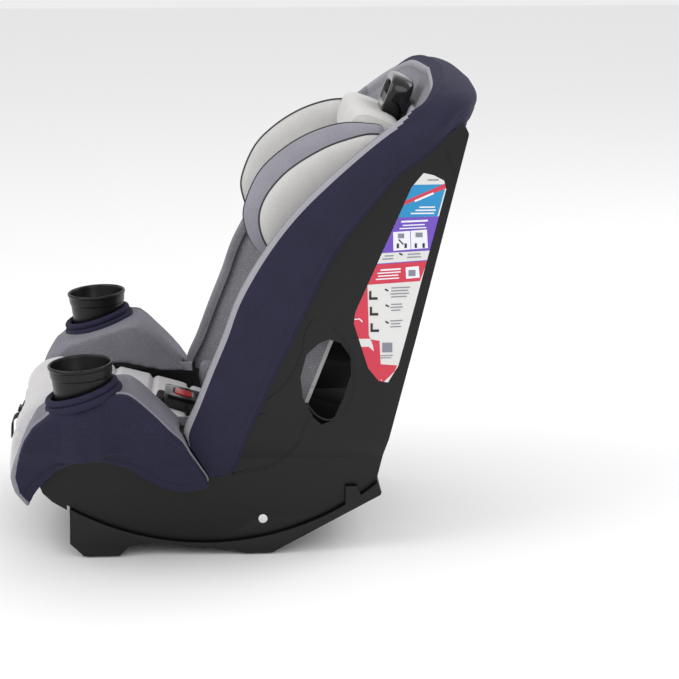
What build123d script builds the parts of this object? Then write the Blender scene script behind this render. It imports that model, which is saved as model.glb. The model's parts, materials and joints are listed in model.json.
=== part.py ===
from build123d import *
from math import cos, radians, sin
import os

os.makedirs("parts", exist_ok=True)

# Convertible child seat: a rocking seat shell on a base, soft covers, harness and headrest.
# Millimetres. X is the width, the front faces -Y, +Z is up and the floor is Z = 0.

# ---- driving dimensions -------------------------------------------------------------
front_y = -320.0  # front of the seat apron
wall = 3.0  # moulded wall
soft_gap = 0.3  # space round soft pieces

# Rocking arc of the recline: the shell's skids turn about this line on the base's cradle.
arc_y = -45.0
arc_z = 372.0
cradle_radius = 354.5
rock_gap = 1.5
skid_radius = cradle_radius - rock_gap
recline_travel = 28.0  # degrees

# Base.
base_half = 168.0
base_front = -230.0
base_rear = 184.0
pad_height = 2.0  # rubber floor pads
foot_back = -165.0
heel_front = 2.0
heel_back = 38.0
facet_rise = 80.0

# Guide rod and rails of the recline.
guide_radius = 331.0
guide_angle = 12.4  # rod's place on the arc at rest, degrees behind straight down
rod_radius = 5.0
rod_slack = 0.06
rod_head_radius = 6.5
rod_head_height = 2.4
rail_x = 112.0
rail_thickness = 4.0
rail_top_radius = 318.0

# Half widths of the shell's side wall, from the skirt to the shoulders.
skirt_half = 163.0
hip_half = 180.0
chest_half = 190.0
shoulder_half = 196.0
skirt_top = 133.0
hip_height = 162.0
chest_height = 300.0
shell_top = 660.0

# Shell sides and rear.
rear_lean = 0.241  # rear edge's run per unit of height
rear_foot_y = 153.6  # where the rear edge's line meets the floor
rear_top_z = 565.0

# Backrest panel, as a plane that leans back.
back_lean = 21.4
back_y = 60.0
back_z = 125.0
back_length = 494.0
back_pad_half = 139.5
back_pad_thickness = 26.0
back_pad_top = 185.0
liner_thickness = 8.0
liner_foot = 206.0
bolster_inner = 140.0

# Seat pan plane, rising to the front.
pan_slope = 16.3
pan_y = -50.0
pan_z = 112.0
pan_length = 213.0
pan_rear_z = 108.0
seat_pad_thickness = 36.0

# Arms and cups.
arm_inner = 132.0
arm_skin = 8.0
seat_pad_half = arm_inner - arm_skin - 0.5
arm_ledge_z = 186.0
arm_outer = 238.0
arm_top_front = -246.0
arm_top_rear = -161.0
arm_top_slope = 17.0
arm_top_z = 230.2  # arm top under the cup
cover_thickness = 8.0
cup_x = 196.4
cup_y = -206.7
cup_top = 277.5
cup_tilt = 3.4
cup_radius = 39.0
cup_rim_radius = cup_radius + 3
cup_foot_radius = cup_radius - 5
cup_depth = 84.0
cup_wall = 2.2
cup_slack = 0.4
socket_wall = 2.0
socket_depth = 34.0
collar_height = 11.0
collar_radius = 45.6
collar_slack = 3.6

# Headrest, measured along the backrest (s) and forward of it (f).
head_half = 134.0
head_foot = 262.0
head_top = 462.0
head_plate = 4.0
head_pad_thickness = 24.0
neck_half = 18.0
neck_slot_half = 20.0
carriage_thickness = 18.0
carriage_foot = 330.0
carriage_height = 70.0
carriage_half = 44.0
rail_rod_x = 31.0
rail_rod_radius = 4.0
rail_rod_slack = 0.06
rail_rod_depth = 14.0  # rod axis behind the backrest panel's front
rail_rod_foot = 196.0
rail_rod_top = 478.0

# Harness.
strap_width = 38.0
strap_thickness = 2.0
strap_x = 43.0 + strap_width / 2
harness_slot_s = 199.0  # slots of the shoulder straps, up the backrest
adjuster_width = 25.0
adjuster_z = 150.0
adjuster_button_half = 8.0
buckle_width = 52.0
buckle_length = 62.0
buckle_thickness = 17.0
buckle_s = 10.0  # its rear end, forward along the pan
buckle_f = seat_pad_thickness + 1.3
crotch_width = 38.0
crotch_s = 80.0

# ---- shared planes and outlines -----------------------------------------------------
back_plane = Plane(
    origin=(0, back_y, back_z),
    x_dir=(1, 0, 0),
    z_dir=(0, -cos(radians(back_lean)), sin(radians(back_lean))),
)
pan_plane = Plane(
    origin=(0, pan_y, pan_z),
    x_dir=(1, 0, 0),
    z_dir=(0, sin(radians(pan_slope)), cos(radians(pan_slope))),
)


rod_plane = Plane(
    origin=(
        0,
        back_y + (rail_rod_foot - 4) * sin(radians(back_lean)) + rail_rod_depth * cos(radians(back_lean)),
        back_z + (rail_rod_foot - 4) * cos(radians(back_lean)) - rail_rod_depth * sin(radians(back_lean)),
    ),
    x_dir=(1, 0, 0),
    z_dir=(0, sin(radians(back_lean)), cos(radians(back_lean))),
)
cup_plane = Plane(
    origin=(cup_x, cup_y, cup_top),
    z_dir=(0, -sin(radians(cup_tilt)), cos(radians(cup_tilt))),
)


def on_back(s, f):
    """Side-view point at a length s up the backrest and f in front of it."""
    lean = radians(back_lean)
    return (back_y + s * sin(lean) - f * cos(lean), back_z + s * cos(lean) + f * sin(lean))


def on_pan(s, f):
    """Side-view point at a length s forward along the seat pan and f above it."""
    slope = radians(pan_slope)
    return (pan_y - s * cos(slope) + f * sin(slope), pan_z + s * sin(slope) + f * cos(slope))


def on_arc(radius, angle):
    """Side-view point on the rocking arc, at an angle behind straight down."""
    turn = radians(angle)
    return (arc_y + radius * sin(turn), arc_z - radius * cos(turn))


def rear_edge(z):
    """Rear edge of the shell at a height."""
    return rear_foot_y + rear_lean * z


# Front view of the shell's outer face: half width at each height.
wall_line = [
    (skirt_half, 0.0),
    (skirt_half, skirt_top),
    (hip_half, hip_height),
    (chest_half, chest_height),
    (shoulder_half, shell_top),
]


def wall_band(inner, outer):
    """Front-view strip beside the left wall's outer face, between two offsets from it."""
    far = [(x + outer, z) for x, z in wall_line]
    near = [(x + inner, z) for x, z in reversed(wall_line)]
    return far + near


def wall_block(offset):
    """Front view of everything between the two walls, offset outwards."""
    left = [(x + offset, z) for x, z in wall_line]
    right = [(-x - offset, z) for x, z in reversed(wall_line)]
    return left + right


# Front edge of the wings, from the arm to the rim, as the covers show it.
wing_edge = [
    (-76, 171),
    (-58, 214),
    (-43, 252),
    (-20, 307),
    (-3, 358),
    (36, 420),
    (75, 470),
    (127, 520),
    (159, 550),
    (192, 582),
    (216, 596),
]
# The same edge of the plastic below the covers.
shell_edge = [
    (-64, 173),
    (-47, 215),
    (-32, 250),
    (-9, 304),
    (8, 353),
    (46, 413),
    (83, 461),
    (133, 510),
    (165, 540),
    (197, 570),
    (222, 586),
    (262, 606),
]
shell_outline = (
    [
        (-264, 90),
        (-252, 78),
        (base_front - 3, 66),
        (base_front - 3, 0),
        (rear_edge(0), 0),
        (rear_edge(rear_top_z), rear_top_z),
        (rear_edge(rear_top_z), rear_top_z + wall),
        (286, 576),
    ]
    + list(reversed(shell_edge))
    + [(-110, 174), (-165, arm_ledge_z), (-250, arm_ledge_z), (-268, 162), (-272, 112)]
)

# Everything under the skids' arc.
with BuildSketch() as below_skids:
    Polygon(
        (base_front - 3, -30), (230, -30), (230, 150), (base_front - 3, 150), align=None
    )
    with Locations((arc_y, arc_z)):
        Circle(skid_radius, mode=Mode.SUBTRACT)

# ---- base ---------------------------------------------------------------------------
base_outline = [
    (base_front, 20),
    (-212, pad_height),
    (foot_back, pad_height),
    (-152, 14),
    (-134, 19),
    (-111, 18),
    (-66, 11),
    (-16, 7),
    (heel_front, pad_height),
    (heel_back, pad_height),
    (base_rear - 1, facet_rise),
    (base_rear, facet_rise + 4),
    (174, 112),
    (base_front + 2, 112),
]
foot_cavity = [(-224, 26), (-208, 8), (-170, 8), (-154, 21), (-138, 24), (-138, 112), (-222, 112)]
heel_cavity = [(14, 8), (36, 8), (174, 82), (174, 112), (14, 112)]
lever_slot_half = 46.0
lever_slot_low = 25.0
lever_slot_high = 52.0

with BuildPart() as base_tub:
    with BuildSketch(Plane.YZ):
        Polygon(*base_outline, align=None)
        with Locations((arc_y, arc_z)):
            Circle(cradle_radius, mode=Mode.SUBTRACT)
    extrude(amount=base_half, both=True)
    # Hollow front foot and heel below the cradle.
    for cavity in (foot_cavity, heel_cavity):
        with BuildSketch(Plane.YZ):
            Polygon(*cavity, align=None)
            with Locations((arc_y, arc_z)):
                Circle(cradle_radius + wall, mode=Mode.SUBTRACT)
        extrude(amount=base_half - wall, both=True, mode=Mode.SUBTRACT)
    # Opening for the recline lever in the front wall.
    with BuildSketch(Plane.XZ.offset(-base_front + 5)):
        with Locations((0, (lever_slot_low + lever_slot_high) / 2)):
            Rectangle(2 * lever_slot_half, lever_slot_high - lever_slot_low)
    extrude(amount=-16, mode=Mode.SUBTRACT)
    # Moulding pockets in the underside of the foot and in the rear facet.
    with BuildSketch(Plane.XY.offset(-1)):
        with Locations((60, (foot_back - 210) / 2), (-60, (foot_back - 210) / 2)):
            Rectangle(70, 26)
    extrude(amount=12, mode=Mode.SUBTRACT)
    for pocket_start in (35, -145):
        with BuildSketch(Plane.YZ.offset(pocket_start)):
            Polygon((72, 0), (152, 0), (152, 71.5), (72, 29.5), align=None)
        extrude(amount=110, mode=Mode.SUBTRACT)
    # Guide fingers that stand up beside the shell's skirt, with a rounded top.
    with BuildSketch(Plane.YZ.offset(skirt_half + rock_gap)):
        Polygon((136, 56), (160, 68), (152, 93), (136, 93), align=None)
    extrude(amount=base_half - skirt_half - rock_gap)
    with BuildSketch(Plane.YZ.offset(-base_half)):
        Polygon((136, 56), (160, 68), (152, 93), (136, 93), align=None)
    extrude(amount=base_half - skirt_half - rock_gap)
base_tub.part.label = "base_tub"
export_step(base_tub.part, "parts/base_tub.step")

# Steel rails that stand on the cradle; the guide rod runs in their arc slots.
rail_front_angle = guide_angle - recline_travel - 6
rail_rear_angle = guide_angle + 6
for side, rail_centre in (("left", rail_x), ("right", -rail_x)):
    with BuildPart() as guide_rail:
        with BuildSketch(Plane.YZ.offset(rail_centre - rail_thickness / 2)):
            with Locations((arc_y, arc_z)):
                Circle(cradle_radius)
                Circle(rail_top_radius, mode=Mode.SUBTRACT)
            Polygon(
                on_arc(0, 0),
                on_arc(2 * cradle_radius, rail_front_angle),
                on_arc(2 * cradle_radius, rail_rear_angle),
                align=None,
                mode=Mode.INTERSECT,
            )
            with BuildLine(mode=Mode.PRIVATE) as slot_path:
                CenterArc(
                    (arc_y, arc_z), guide_radius, guide_angle - recline_travel - 90, recline_travel
                )
            SlotArc(slot_path.edge(), 2 * (rod_radius + rod_slack), mode=Mode.SUBTRACT)
        extrude(amount=rail_thickness)
    guide_rail.part.label = f"guide_rail_{side}"
    export_step(guide_rail.part, f"parts/guide_rail_{side}.step")

# Rubber pads under the foot and the heel.
with BuildPart() as floor_pads:
    with BuildSketch():
        with Locations(
            (135, (foot_back - 208) / 2), (-135, (foot_back - 208) / 2), (0, (foot_back - 208) / 2)
        ):
            RectangleRounded(36, 30, 4)
        with Locations((120, 20), (-120, 20), (0, 20)):
            RectangleRounded(60, 30, 4)
    extrude(amount=pad_height)
floor_pads.part.label = "floor_pads"
export_step(floor_pads.part, "parts/floor_pads.step")

# Recline lever: a squeeze paddle through the front wall, on a pin across the foot.
lever_pin_y = -206.0
lever_pin_z = 40.0
lever_pin_radius = 3.0
lever_pin_slack = 0.05
lever_half = lever_slot_half - 6
with BuildPart() as lever_pin:
    with BuildSketch(Plane.YZ):
        with Locations((lever_pin_y, lever_pin_z)):
            Circle(lever_pin_radius)
    extrude(amount=lever_slot_half + 8, both=True)
lever_pin.part.label = "lever_pin"
export_step(lever_pin.part, "parts/lever_pin.step")

# Brackets that hold the pin, moulded between the foot's floor and the cradle.
with BuildPart() as lever_brackets:
    with BuildSketch(Plane.YZ.offset(lever_slot_half + 2)):
        Polygon((-207.5, 8), (-199, 8), (-199, 47), (-212, 47), (-212, 13), align=None)
        with Locations((lever_pin_y, lever_pin_z)):
            Circle(lever_pin_radius + lever_pin_slack, mode=Mode.SUBTRACT)
    extrude(amount=6)
    mirror(about=Plane.YZ)
lever_brackets.part.label = "lever_brackets"
export_step(lever_brackets.part, "parts/lever_brackets.step")

with BuildPart() as recline_lever:
    with BuildSketch(Plane.YZ):
        Polygon(
            (-240, 31), (-236, 29), (-214, 33), (-199, 34), (-199, 45), (-210, 46), (-218, 41), (-240, 37),
            align=None,
        )
        with Locations((lever_pin_y, lever_pin_z)):
            Circle(lever_pin_radius + lever_pin_slack, mode=Mode.SUBTRACT)
    extrude(amount=lever_half, both=True)
recline_lever.part.label = "recline_lever"
export_step(recline_lever.part, "parts/recline_lever.step")

# ---- seat shell ---------------------------------------------------------------------
slot_outline = [
    (100, 296),
    (84, 281),
    (76, 250),
    (79, 222),
    (92, 194),
    (104, 183),
    (118, 188),
    (131, 217),
    (142, 252),
    (141, 277),
    (128, 296),
    (113, 301),
]

with BuildPart() as side_wall:
    with BuildSketch(Plane.YZ):
        Polygon(*shell_outline, align=None)
        add(below_skids.sketch, mode=Mode.SUBTRACT)
    extrude(amount=chest_half + 30)
    with BuildSketch(Plane.XZ):
        Polygon(*wall_band(-wall, 0), align=None)
    extrude(amount=500, both=True, mode=Mode.INTERSECT)

ledge_half = 230.0
rear_wall_foot = 166.0
pan_under = wall
with BuildPart() as seat_shell:
    # Seat pan, from the bight to the front wall.
    with BuildSketch(Plane.YZ):
        Polygon(
            (back_y + 4, back_z + 10),
            (pan_y + 90, pan_rear_z),
            (pan_y, pan_z),
            on_pan(pan_length, 0),
            (-267, 161),
            (-271, 112),
            (-263, 91),
            (-260, 93),
            (-268, 113),
            (-264, 159),
            on_pan(pan_length - 1, -pan_under),
            (pan_y, pan_z - pan_under),
            (pan_y + 92, pan_rear_z - pan_under),
            (back_y + 10, back_z + 8),
            align=None,
        )
    extrude(amount=ledge_half, both=True)
    # Backrest panel below and above the belt path, and the rear wall.
    with BuildSketch(Plane.YZ):
        Polygon(on_back(0, 0), on_back(58, 0), on_back(58, -wall), on_back(0, -wall), align=None)
        Polygon(
            on_back(190, 0),
            on_back(back_length, 0),
            on_back(back_length, -wall),
            on_back(190, -wall),
            align=None,
        )
        Polygon(
            (rear_edge(rear_wall_foot) - wall, rear_wall_foot),
            (rear_edge(rear_wall_foot), rear_wall_foot),
            (rear_edge(rear_top_z), rear_top_z),
            (rear_edge(rear_top_z) - wall, rear_top_z),
            align=None,
        )
        Polygon(
            on_back(back_length - wall, 0),
            on_back(back_length, 0),
            (rear_edge(rear_top_z), rear_top_z + wall),
            (rear_edge(rear_top_z) - 1, rear_top_z - 1),
            on_back(back_length - wall, -wall),
            align=None,
        )
    extrude(amount=ledge_half, both=True)
    with BuildSketch(Plane.XZ):
        Polygon(*wall_block(-1), align=None)
    extrude(amount=500, both=True, mode=Mode.INTERSECT)
    # Slot for the headrest's neck and two for the harness.
    with BuildSketch(back_plane.offset(-20)):
        with Locations((0, (carriage_foot + back_length) / 2 - 40)):
            SlotOverall(back_length - carriage_foot + 130, 2 * neck_slot_half, rotation=90)
    extrude(amount=24, mode=Mode.SUBTRACT)
    # Harness slots, crotch slot and the adjuster's way through the front wall.
    with BuildSketch(back_plane.offset(-20)):
        with Locations((strap_x, harness_slot_s), (-strap_x, harness_slot_s)):
            SlotOverall(strap_width + 8, 7)
    extrude(amount=24, mode=Mode.SUBTRACT)
    with BuildSketch(pan_plane.offset(-10)):
        with Locations((0, -crotch_s)):
            SlotOverall(crotch_width + 8, 7)
    extrude(amount=20, mode=Mode.SUBTRACT)
    with BuildSketch(Plane.XZ.offset(280)):
        with Locations((0, adjuster_z)):
            Rectangle(adjuster_width + 3, 6)
    extrude(amount=-30, mode=Mode.SUBTRACT)
    # Sockets that hold the headrest's guide rods behind the panel.
    with BuildSketch(back_plane.offset(-rail_rod_depth - 8)):
        for rod_x in (rail_rod_x, -rail_rod_x):
            with Locations((rod_x, rail_rod_foot), (rod_x, rail_rod_top)):
                RectangleRounded(18, 12, 3)
    extrude(amount=rail_rod_depth + 7)
    for rod_x in (rail_rod_x, -rail_rod_x):
        with BuildSketch(rod_plane):
            with Locations((rod_x, 0)):
                Circle(rail_rod_radius + rail_rod_slack)
        extrude(amount=rail_rod_top - rail_rod_foot + 20, mode=Mode.SUBTRACT)
    # Arm boxes beside the pan.
    with BuildSketch(Plane.YZ.offset(arm_inner)):
        Polygon(
            (-66, 104), (-66, 171), (-110, 173), (-165, arm_ledge_z - 1.5), (-249, arm_ledge_z - 1.5),
            (-264, 164), (-266, 150), on_pan(200, -9), on_pan(16, -9), align=None,
        )
    extrude(amount=wall)
    with BuildSketch(Plane.YZ.offset(arm_inner)):
        Polygon(
            (-65, 171.5), (-110, 173.5), (-165, arm_ledge_z - 0.5), (-249, arm_ledge_z - 0.5), (-266, 163),
            (-263, 161), (-248, arm_ledge_z - wall), (-165, arm_ledge_z - wall), (-110, 171), (-65, 169),
            align=None,
        )
    extrude(amount=hip_half - arm_inner - 1)
    # Skids that run on the cradle.
    with BuildSketch(Plane.YZ.offset(rail_x + 16)):
        with Locations((arc_y, arc_z)):
            Circle(skid_radius)
            Circle(skid_radius - wall, mode=Mode.SUBTRACT)
        Polygon(
            on_arc(0, 0), on_arc(600, -31), on_arc(600, 38.5), align=None, mode=Mode.INTERSECT
        )
    extrude(amount=skirt_half - 1 - rail_x - 16)
    add(side_wall.part)
    mirror(about=Plane.YZ)
    # Belt path through both side walls.
    with BuildSketch(Plane.YZ.offset(-ledge_half)):
        Polygon(*slot_outline, align=None)
        with Locations(on_arc(guide_radius, guide_angle)):
            Circle(rod_radius + rod_slack)
    extrude(amount=2 * ledge_half, mode=Mode.SUBTRACT)
seat_shell.part.label = "seat_shell"
export_step(seat_shell.part, "parts/seat_shell.step")

# Guide rod through both skirts and both rails, headed at each end.
with BuildPart() as guide_rod:
    with BuildSketch(Plane.YZ):
        with Locations(on_arc(guide_radius, guide_angle)):
            Circle(rod_radius)
    extrude(amount=skirt_half, both=True)
    with BuildSketch(Plane.YZ.offset(skirt_half)):
        with Locations(on_arc(guide_radius, guide_angle)):
            Circle(rod_head_radius)
    extrude(amount=rod_head_height)
    fillet(guide_rod.faces().sort_by(Axis.X)[-1].edges(), radius=1.6)
    mirror(about=Plane.YZ)
guide_rod.part.label = "guide_rod"
export_step(guide_rod.part, "parts/guide_rod.step")

# ---- seat and backrest pads -----------------------------------------------------------
with BuildPart() as backrest_pad:
    with BuildSketch(back_plane):
        with Locations((0, (16 + back_pad_top) / 2)):
            RectangleRounded(2 * back_pad_half, back_pad_top - 16, 14)
    extrude(amount=back_pad_thickness)
    fillet(backrest_pad.faces().sort_by(Axis.Y)[0].edges(), radius=7)
backrest_pad.part.label = "backrest_pad"
export_step(backrest_pad.part, "parts/backrest_pad.step")

# Thin liner behind the headrest, slotted for its neck.
with BuildPart() as backrest_liner:
    with BuildSketch(back_plane):
        with Locations((0, (liner_foot + back_length - 6) / 2)):
            Rectangle(2 * back_pad_half, back_length - 6 - liner_foot)
        with Locations((0, (carriage_foot + back_length) / 2 - 40)):
            SlotOverall(
                back_length - carriage_foot + 130, 2 * neck_slot_half, rotation=90, mode=Mode.SUBTRACT
            )
    extrude(amount=liner_thickness)
backrest_liner.part.label = "backrest_liner"
export_step(backrest_liner.part, "parts/backrest_liner.step")

with BuildPart() as seat_pad:
    with BuildSketch(Plane.YZ):
        Polygon(
            on_pan(208, 0),
            (pan_y, pan_z),
            (pan_y + 90, pan_rear_z),
            (52, 122),
            (41, 136),
            (16, 137.5),
            on_pan(-36, seat_pad_thickness),
            on_pan(100, seat_pad_thickness + 1),
            on_pan(205, seat_pad_thickness),
            on_pan(212, seat_pad_thickness - 10),
            align=None,
        )
    extrude(amount=seat_pad_half, both=True)
    # Slot for the crotch strap.
    with BuildSketch(pan_plane.offset(-2)):
        with Locations((0, -crotch_s)):
            Rectangle(crotch_width + 4, 7)
    extrude(amount=seat_pad_thickness + 10, mode=Mode.SUBTRACT)
seat_pad.part.label = "seat_pad"
export_step(seat_pad.part, "parts/seat_pad.step")

# Padded apron that hangs over the front of the pan.
with BuildPart() as front_apron:
    with BuildSketch(Plane.YZ):
        Polygon(
            on_pan(214, seat_pad_thickness - 14),
            on_pan(214, seat_pad_thickness),
            (-278, 203),
            (-291, 180),
            (-303, 152),
            (-314, 116),
            (front_y, 84),
            (-308, 74),
            (-300, 78),
            (-294, 110),
            (-284, 148),
            (-272.5, 166),
            (-268, 172),
            align=None,
        )
    extrude(amount=seat_pad_half, both=True)
    # Way through for the adjuster strap.
    with BuildSketch(Plane.XZ.offset(340)):
        with Locations((0, adjuster_z)):
            Rectangle(adjuster_width + 3, 6)
    extrude(amount=-90, mode=Mode.SUBTRACT)
    # Recess behind the adjuster's button.
    with BuildSketch(Plane.YZ):
        Polygon((-320, 152), (-298, 152), (-294, 163), (-320, 170), align=None)
    extrude(amount=adjuster_button_half + 0.6, both=True, mode=Mode.SUBTRACT)
front_apron.part.label = "front_apron"
export_step(front_apron.part, "parts/front_apron.step")

# Side bolsters: the padded inner faces of the wings.
bolster_outline = shell_edge[1:-1] + [on_back(back_length - 6, 0.3), on_back(84, 0.3)]
for side in (1, -1):
    with BuildPart() as side_bolster:
        with BuildSketch(Plane.YZ):
            Polygon(*bolster_outline, align=None)
            Polygon(*slot_outline, align=None, mode=Mode.SUBTRACT)
        extrude(amount=side * 250)
        with BuildSketch(Plane.XZ):
            inner_edge = [(side * bolster_inner, z) for x, z in reversed(wall_line)]
            outer_edge = [(side * (x - wall), z) for x, z in wall_line]
            Polygon(*outer_edge, *inner_edge, align=None)
        extrude(amount=500, both=True, mode=Mode.INTERSECT)
    name = "side_bolster_left" if side > 0 else "side_bolster_right"
    side_bolster.part.label = name
    export_step(side_bolster.part, f"parts/{name}.step")

# ---- outer covers -----------------------------------------------------------------------
# Room for the shell's left wall and what is inside it.
with BuildPart() as shell_room:
    with BuildSketch(Plane.YZ):
        Polygon(*shell_outline, align=None)
    extrude(amount=260)
    with BuildSketch(Plane.XZ):
        Polygon(*wall_band(-60, 0), align=None)
    extrude(amount=500, both=True, mode=Mode.INTERSECT)

side_cover_hem = [
    (238, 548),
    (195, 512),
    (156, 465),
    (126, 426),
    (91, 358),
    (60, 292),
    (26, 217),
    (6, 174),
    (-5, 129),
    (-20, 114),
    (-44, 109),
    (-65, 146),
]
with BuildPart() as side_cover_left:
    with BuildSketch(Plane.YZ):
        Polygon(*wing_edge, *side_cover_hem, align=None)
    extrude(amount=260)
    with BuildSketch(Plane.XZ):
        Polygon(*wall_band(-14, cover_thickness), align=None)
    extrude(amount=500, both=True, mode=Mode.INTERSECT)
    add(shell_room.part, mode=Mode.SUBTRACT)
side_cover_left.part.label = "side_cover_left"
export_step(side_cover_left.part, "parts/side_cover_left.step")
with BuildPart() as side_cover_right:
    add(mirror(side_cover_left.part, about=Plane.YZ, mode=Mode.PRIVATE))
side_cover_right.part.label = "side_cover_right"
export_step(side_cover_right.part, "parts/side_cover_right.step")

# Padded roll round the top of the shell.
rim_outline = [
    (216.5, 596),
    (243, 615),
    (257, 628),
    (268, 637),
    (285, 635),
    (303, 625),
    (315, 607),
    (312, 588),
    (300, 566),
    (286, 551),
    (238.5, 548),
]
rim_half = shoulder_half + cover_thickness - 1
with BuildPart() as rim_cover:
    with BuildSketch(Plane.YZ):
        Polygon(*rim_outline, align=None)
    extrude(amount=260, both=True)
    # Rounded plan outside, and the open top inside.
    with BuildSketch(Plane.XY.offset(500)):
        with Locations((0, 316 - 250)):
            RectangleRounded(2 * rim_half, 500, 80)
        with Locations((0, 290 - 250)):
            RectangleRounded(2 * (shoulder_half - 14), 500, 66, mode=Mode.SUBTRACT)
    extrude(amount=200, mode=Mode.INTERSECT)
    add(shell_room.part, mode=Mode.SUBTRACT)
    add(mirror(shell_room.part, about=Plane.YZ, mode=Mode.PRIVATE), mode=Mode.SUBTRACT)
    # Clear of the rear wall and the panel's top.
    with BuildSketch(Plane.YZ):
        Polygon(
            (200, 500), (rear_edge(540) + soft_gap, 540), (rear_edge(rear_top_z) + 1, rear_top_z),
            (290, 574), (262, 607), (200, 607), align=None,
        )
    extrude(amount=shoulder_half - 20, both=True, mode=Mode.SUBTRACT)
rim_cover.part.label = "rim_cover"
export_step(rim_cover.part, "parts/rim_cover.step")

# Armrest covers with room for the arm boxes and the cup sockets.
arm_outline = [
    (-77.5, 173),
    (-106, 205),
    (-133, 232),
    (-146, 242),
    (arm_top_rear, 243),
    (arm_top_front, 217),
    (-268, 200),
    (-280, 180),
    (-290, 157),
    (-303, 122),
    (-299, 98),
    (-284, 76),
    (-275, 96),
    (-260, 115),
    (-240, 135),
    (-211, 148),
    (-180, 147),
    (-152, 136),
    (-125, 115),
    (-97, 97),
    (-74, 94),
    (-47, 99),
    (-46, 108),
    (-67, 146),
]
arm_section = [
    (arm_inner, 60),
    (170, 60),
    (182, 100),
    (198, 136),
    (224, 168),
    (arm_outer - 2, 192),
    (arm_outer, 240),
    (arm_outer - 8, 258),
    (arm_inner + 10, 262),
    (arm_inner, 252),
]
with BuildPart() as arm_cover_left:
    with BuildSketch(Plane.YZ):
        Polygon(*arm_outline, align=None)
    extrude(amount=260)
    with BuildSketch(Plane.XZ):
        Polygon(*arm_section, align=None)
    extrude(amount=500, both=True, mode=Mode.INTERSECT)
    # Inner face beside the seat pad.
    with BuildSketch(Plane.YZ.offset(arm_inner - arm_skin)):
        Polygon(
            (-78, 174), (-106, 203), (-133, 230), (-147, 240), (arm_top_rear, 241), (arm_top_front, 215),
            (-262, 200), (-266, 176), on_pan(208, 1), on_pan(20, 1), align=None,
        )
    extrude(amount=arm_skin)
    add(shell_room.part, mode=Mode.SUBTRACT)
    with BuildSketch(cup_plane):
        Circle(cup_radius + cup_slack + socket_wall)
    extrude(amount=-cup_depth - 8, mode=Mode.SUBTRACT)
arm_cover_left.part.label = "arm_cover_left"
export_step(arm_cover_left.part, "parts/arm_cover_left.step")
with BuildPart() as arm_cover_right:
    add(mirror(arm_cover_left.part, about=Plane.YZ, mode=Mode.PRIVATE))
arm_cover_right.part.label = "arm_cover_right"
export_step(arm_cover_right.part, "parts/arm_cover_right.step")

# ---- cups ---------------------------------------------------------------------------------
cup_side = Plane(
    origin=(cup_x, cup_y, cup_top),
    x_dir=(1, 0, 0),
    z_dir=(0, -cos(radians(cup_tilt)), -sin(radians(cup_tilt))),
)
cup_axis = Axis((cup_x, cup_y, cup_top), (0, -sin(radians(cup_tilt)), cos(radians(cup_tilt))))
collar_plane = Plane(
    origin=(cup_x, cup_y + (cup_top - arm_top_z) * sin(radians(cup_tilt)), arm_top_z),
    z_dir=(0, -sin(radians(arm_top_slope)), cos(radians(arm_top_slope))),
)

with BuildPart() as cup_holder:
    with BuildSketch(cup_side):
        Polygon(
            (0, -cup_depth),
            (cup_foot_radius, -cup_depth),
            (cup_radius - 0.5, -16),
            (cup_radius, -8),
            (cup_rim_radius, -6),
            (cup_rim_radius, -1.5),
            (cup_rim_radius - 1, 0),
            (cup_radius, 0),
            (cup_radius - cup_wall, -3),
            (cup_radius - 0.5 - cup_wall, -16),
            (cup_foot_radius - cup_wall, -cup_depth + cup_wall),
            (0, -cup_depth + cup_wall),
            align=None,
        )
    revolve(axis=cup_axis)

with BuildPart() as cup_socket:
    # A cone that the cup drops into, standing on the arm box.
    with BuildSketch(cup_side):
        Polygon(
            (0, -cup_depth - 8),
            (cup_foot_radius + cup_slack + socket_wall, -cup_depth - 8),
            (cup_foot_radius + cup_slack + socket_wall, -cup_depth),
            (cup_radius + cup_slack + socket_wall, -cup_depth + socket_depth),
            (cup_radius + cup_slack, -cup_depth + socket_depth),
            (cup_foot_radius + cup_slack, -cup_depth - soft_gap),
            (0, -cup_depth - soft_gap),
            align=None,
        )
    revolve(axis=cup_axis)
    split(bisect_by=Plane.XY.offset(arm_ledge_z), keep=Keep.TOP)

with BuildPart() as cup_collar:
    with BuildSketch(collar_plane):
        Circle(collar_radius)
        Circle(cup_radius + collar_slack, mode=Mode.SUBTRACT)
    extrude(amount=collar_height)

for name, piece in (("cup_holder", cup_holder), ("cup_socket", cup_socket), ("cup_collar", cup_collar)):
    with BuildPart() as left_piece:
        add(piece.part)
    left_piece.part.label = f"{name}_left"
    export_step(left_piece.part, f"parts/{name}_left.step")
    with BuildPart() as right_piece:
        add(mirror(piece.part, about=Plane.YZ, mode=Mode.PRIVATE))
    right_piece.part.label = f"{name}_right"
    export_step(right_piece.part, f"parts/{name}_right.step")

# ---- headrest -------------------------------------------------------------------------------
for side, rod_x in (("left", rail_rod_x), ("right", -rail_rod_x)):
    with BuildPart() as headrest_rod:
        with BuildSketch(rod_plane):
            with Locations((rod_x, 0)):
                Circle(rail_rod_radius)
        extrude(amount=rail_rod_top - rail_rod_foot + 8)
    headrest_rod.part.label = f"headrest_rod_{side}"
    export_step(headrest_rod.part, f"parts/headrest_rod_{side}.step")

with BuildPart() as headrest_carriage:
    with BuildSketch(back_plane.offset(-rail_rod_depth - carriage_thickness / 2)):
        with Locations((0, carriage_foot + carriage_height / 2)):
            RectangleRounded(2 * carriage_half, carriage_height, 8)
    extrude(amount=carriage_thickness)
    for rod_x in (rail_rod_x, -rail_rod_x):
        with BuildSketch(rod_plane):
            with Locations((rod_x, 0)):
                Circle(rail_rod_radius + rail_rod_slack)
        extrude(amount=rail_rod_top - rail_rod_foot + 8, mode=Mode.SUBTRACT)
headrest_carriage.part.label = "headrest_carriage"
export_step(headrest_carriage.part, "parts/headrest_carriage.step")

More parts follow.
